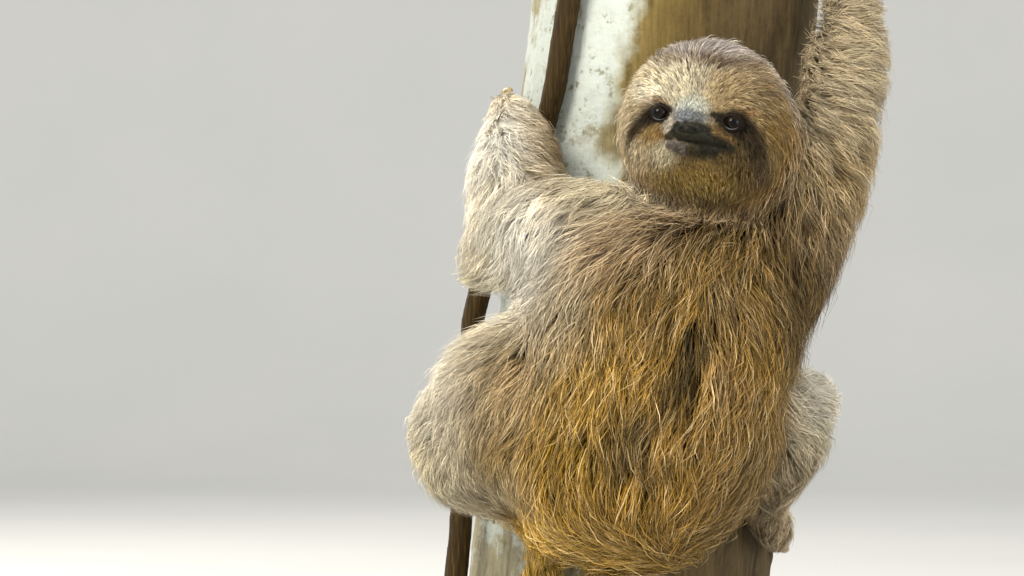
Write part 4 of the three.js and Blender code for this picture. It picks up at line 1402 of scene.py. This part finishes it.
def grow_coat(name, chosen, hairs, per_lock, spread, girth, slot, rows, seed):
    """Grows one piece of the coat on the chosen triangles of the skin."""
    rng = np.random.default_rng(seed)
    locks = max(1, hairs // per_lock)
    roots, at, which = scatter_locks(name, chosen, locks, rng)
    length = mean_at(skin_length, which) * rng.uniform(0.75, 1.15, locks)
    path, normals, depth, tints = trace_locks(roots, which, length, rng)
    # A lock is seen along its outer half, so it carries the marking that it lies over.
    head = mean_at(skin_head, which)
    tints = mix(tints, tints[:, 1:].mean(1, keepdims=True), (0.5 - 0.4 * head)[:, None, None])
    vary = (0.2 + 0.08 * head)[:, None, None]
    tints = tints * (1 + vary * rng.normal(0, 1, (locks, 1, 1))).clip(0.5, 1.6)
    own = np.repeat(np.arange(locks), per_lock)
    line, up, tint = part_hairs(path, normals, depth, tints, length, own, rows, spread, rng)
    on_face = slot == "face_coat"
    keep = clear_of_face(line) if on_face else np.ones(len(own), bool)
    right, _, high = to_head(line[:, 0]).T
    from_nose = np.hypot(right, high + 5)
    tint = tint_hairs(tint, from_nose, head[own], rng)
    thick = girth * rng.uniform(0.75, 1.2, len(own))
    if on_face:
        coarser = 0.35 * smoothstep(from_nose, 7, 24) + 0.3 * smoothstep(from_nose, 24, 44)
        thick = thick * (0.6 + coarser)
    at = at[own] + rng.uniform(-MAP_PATCH / 2, MAP_PATCH / 2, (len(own), 2))
    piece = hair_mesh(name, line[keep], up[keep], thick[keep], tint[keep], at[keep])
    finish_piece(piece, HAIR_FINISH)


tri_part = skin_part[triangles[:, 0]]
tri_middle = skin_points[triangles].mean(1)
tri_head = to_head(tri_middle)
away_from_bark = np.linalg.norm(tri_middle[:, :2] - bark_axis(tri_middle[:, 2]), axis=1)
exposed = away_from_bark > BARK_RADIUS + 4
# Hair is a little thinner where it can hardly be seen, against the trunk.
seen = 0.4 + 0.6 * smoothstep(away_from_bark, BARK_RADIUS + 9, BARK_RADIUS + 35)


def in_parts(*names):
    """Which triangles belong to the parts named and aren't pressed against the trunk."""
    return np.isin(tri_part, [FLESH.index(name) for name in names]) & exposed


def in_limb(side, *names):
    """Which triangles belong to the parts of one side's limb."""
    return in_parts(*[f"{name}_{side}" for name in names])


ARM, LEG = ("upper_arm", "forearm", "hand"), ("thigh", "shank", "foot")
SHOULDERS_FROM, RUMP_BELOW = 262, 200  # heights where one piece of the back's coat meets the next
head_faces, torso = in_parts("head"), in_parts("torso")
face_side = head_faces & (tri_head[:, 1] > 12)
above_nose = tri_head[:, 2] > -2
shoulders = torso & (tri_middle[:, 2] > SHOULDERS_FROM)
rump = torso & (tri_middle[:, 2] <= RUMP_BELOW)
# Name, triangles, hairs, hairs to a lock, spread of a lock, girth of a hair, slot, points along a hair.
COATS = [
    ("coat_brow", face_side & above_nose, 18500, 3, 0.9, 0.34, "face_coat", 3),
    ("coat_cheeks", face_side & ~above_nose, 19500, 3, 0.9, 0.34, "face_coat", 3),
    ("coat_crown", (head_faces & ~face_side) | in_parts("neck"), 11800, 8, 3.0, 0.52, "face_coat", 4),
    ("coat_shoulders", shoulders, 8300, 11, 4.4, 0.56, "back_coat", 4),
    ("coat_back", torso & ~shoulders & ~rump, 10600, 11, 4.4, 0.56, "back_coat", 4),
    ("coat_rump", rump | in_parts("tail"), 11200, 11, 4.4, 0.56, "back_coat", 4),
    ("coat_arm_left", in_limb("left", *ARM), 12000, 9, 3.6, 0.46, "limb_coat", 3),
    ("coat_arm_right", in_limb("right", *ARM), 11500, 9, 3.6, 0.46, "limb_coat", 3),
    ("coat_leg_left", in_limb("left", *LEG), 12000, 9, 3.6, 0.48, "limb_coat", 3),
    ("coat_leg_right", in_limb("right", *LEG), 8500, 9, 3.4, 0.46, "limb_coat", 3),
]
SHARE = 1.0
for number, (name, chosen, hairs, per_lock, spread, girth, slot, rows) in enumerate(COATS):
    girth = girth / SHARE**0.5
    grow_coat(name, chosen, int(hairs * SHARE), per_lock, spread, girth, slot, rows, seed=40 + number)

clear_selection()
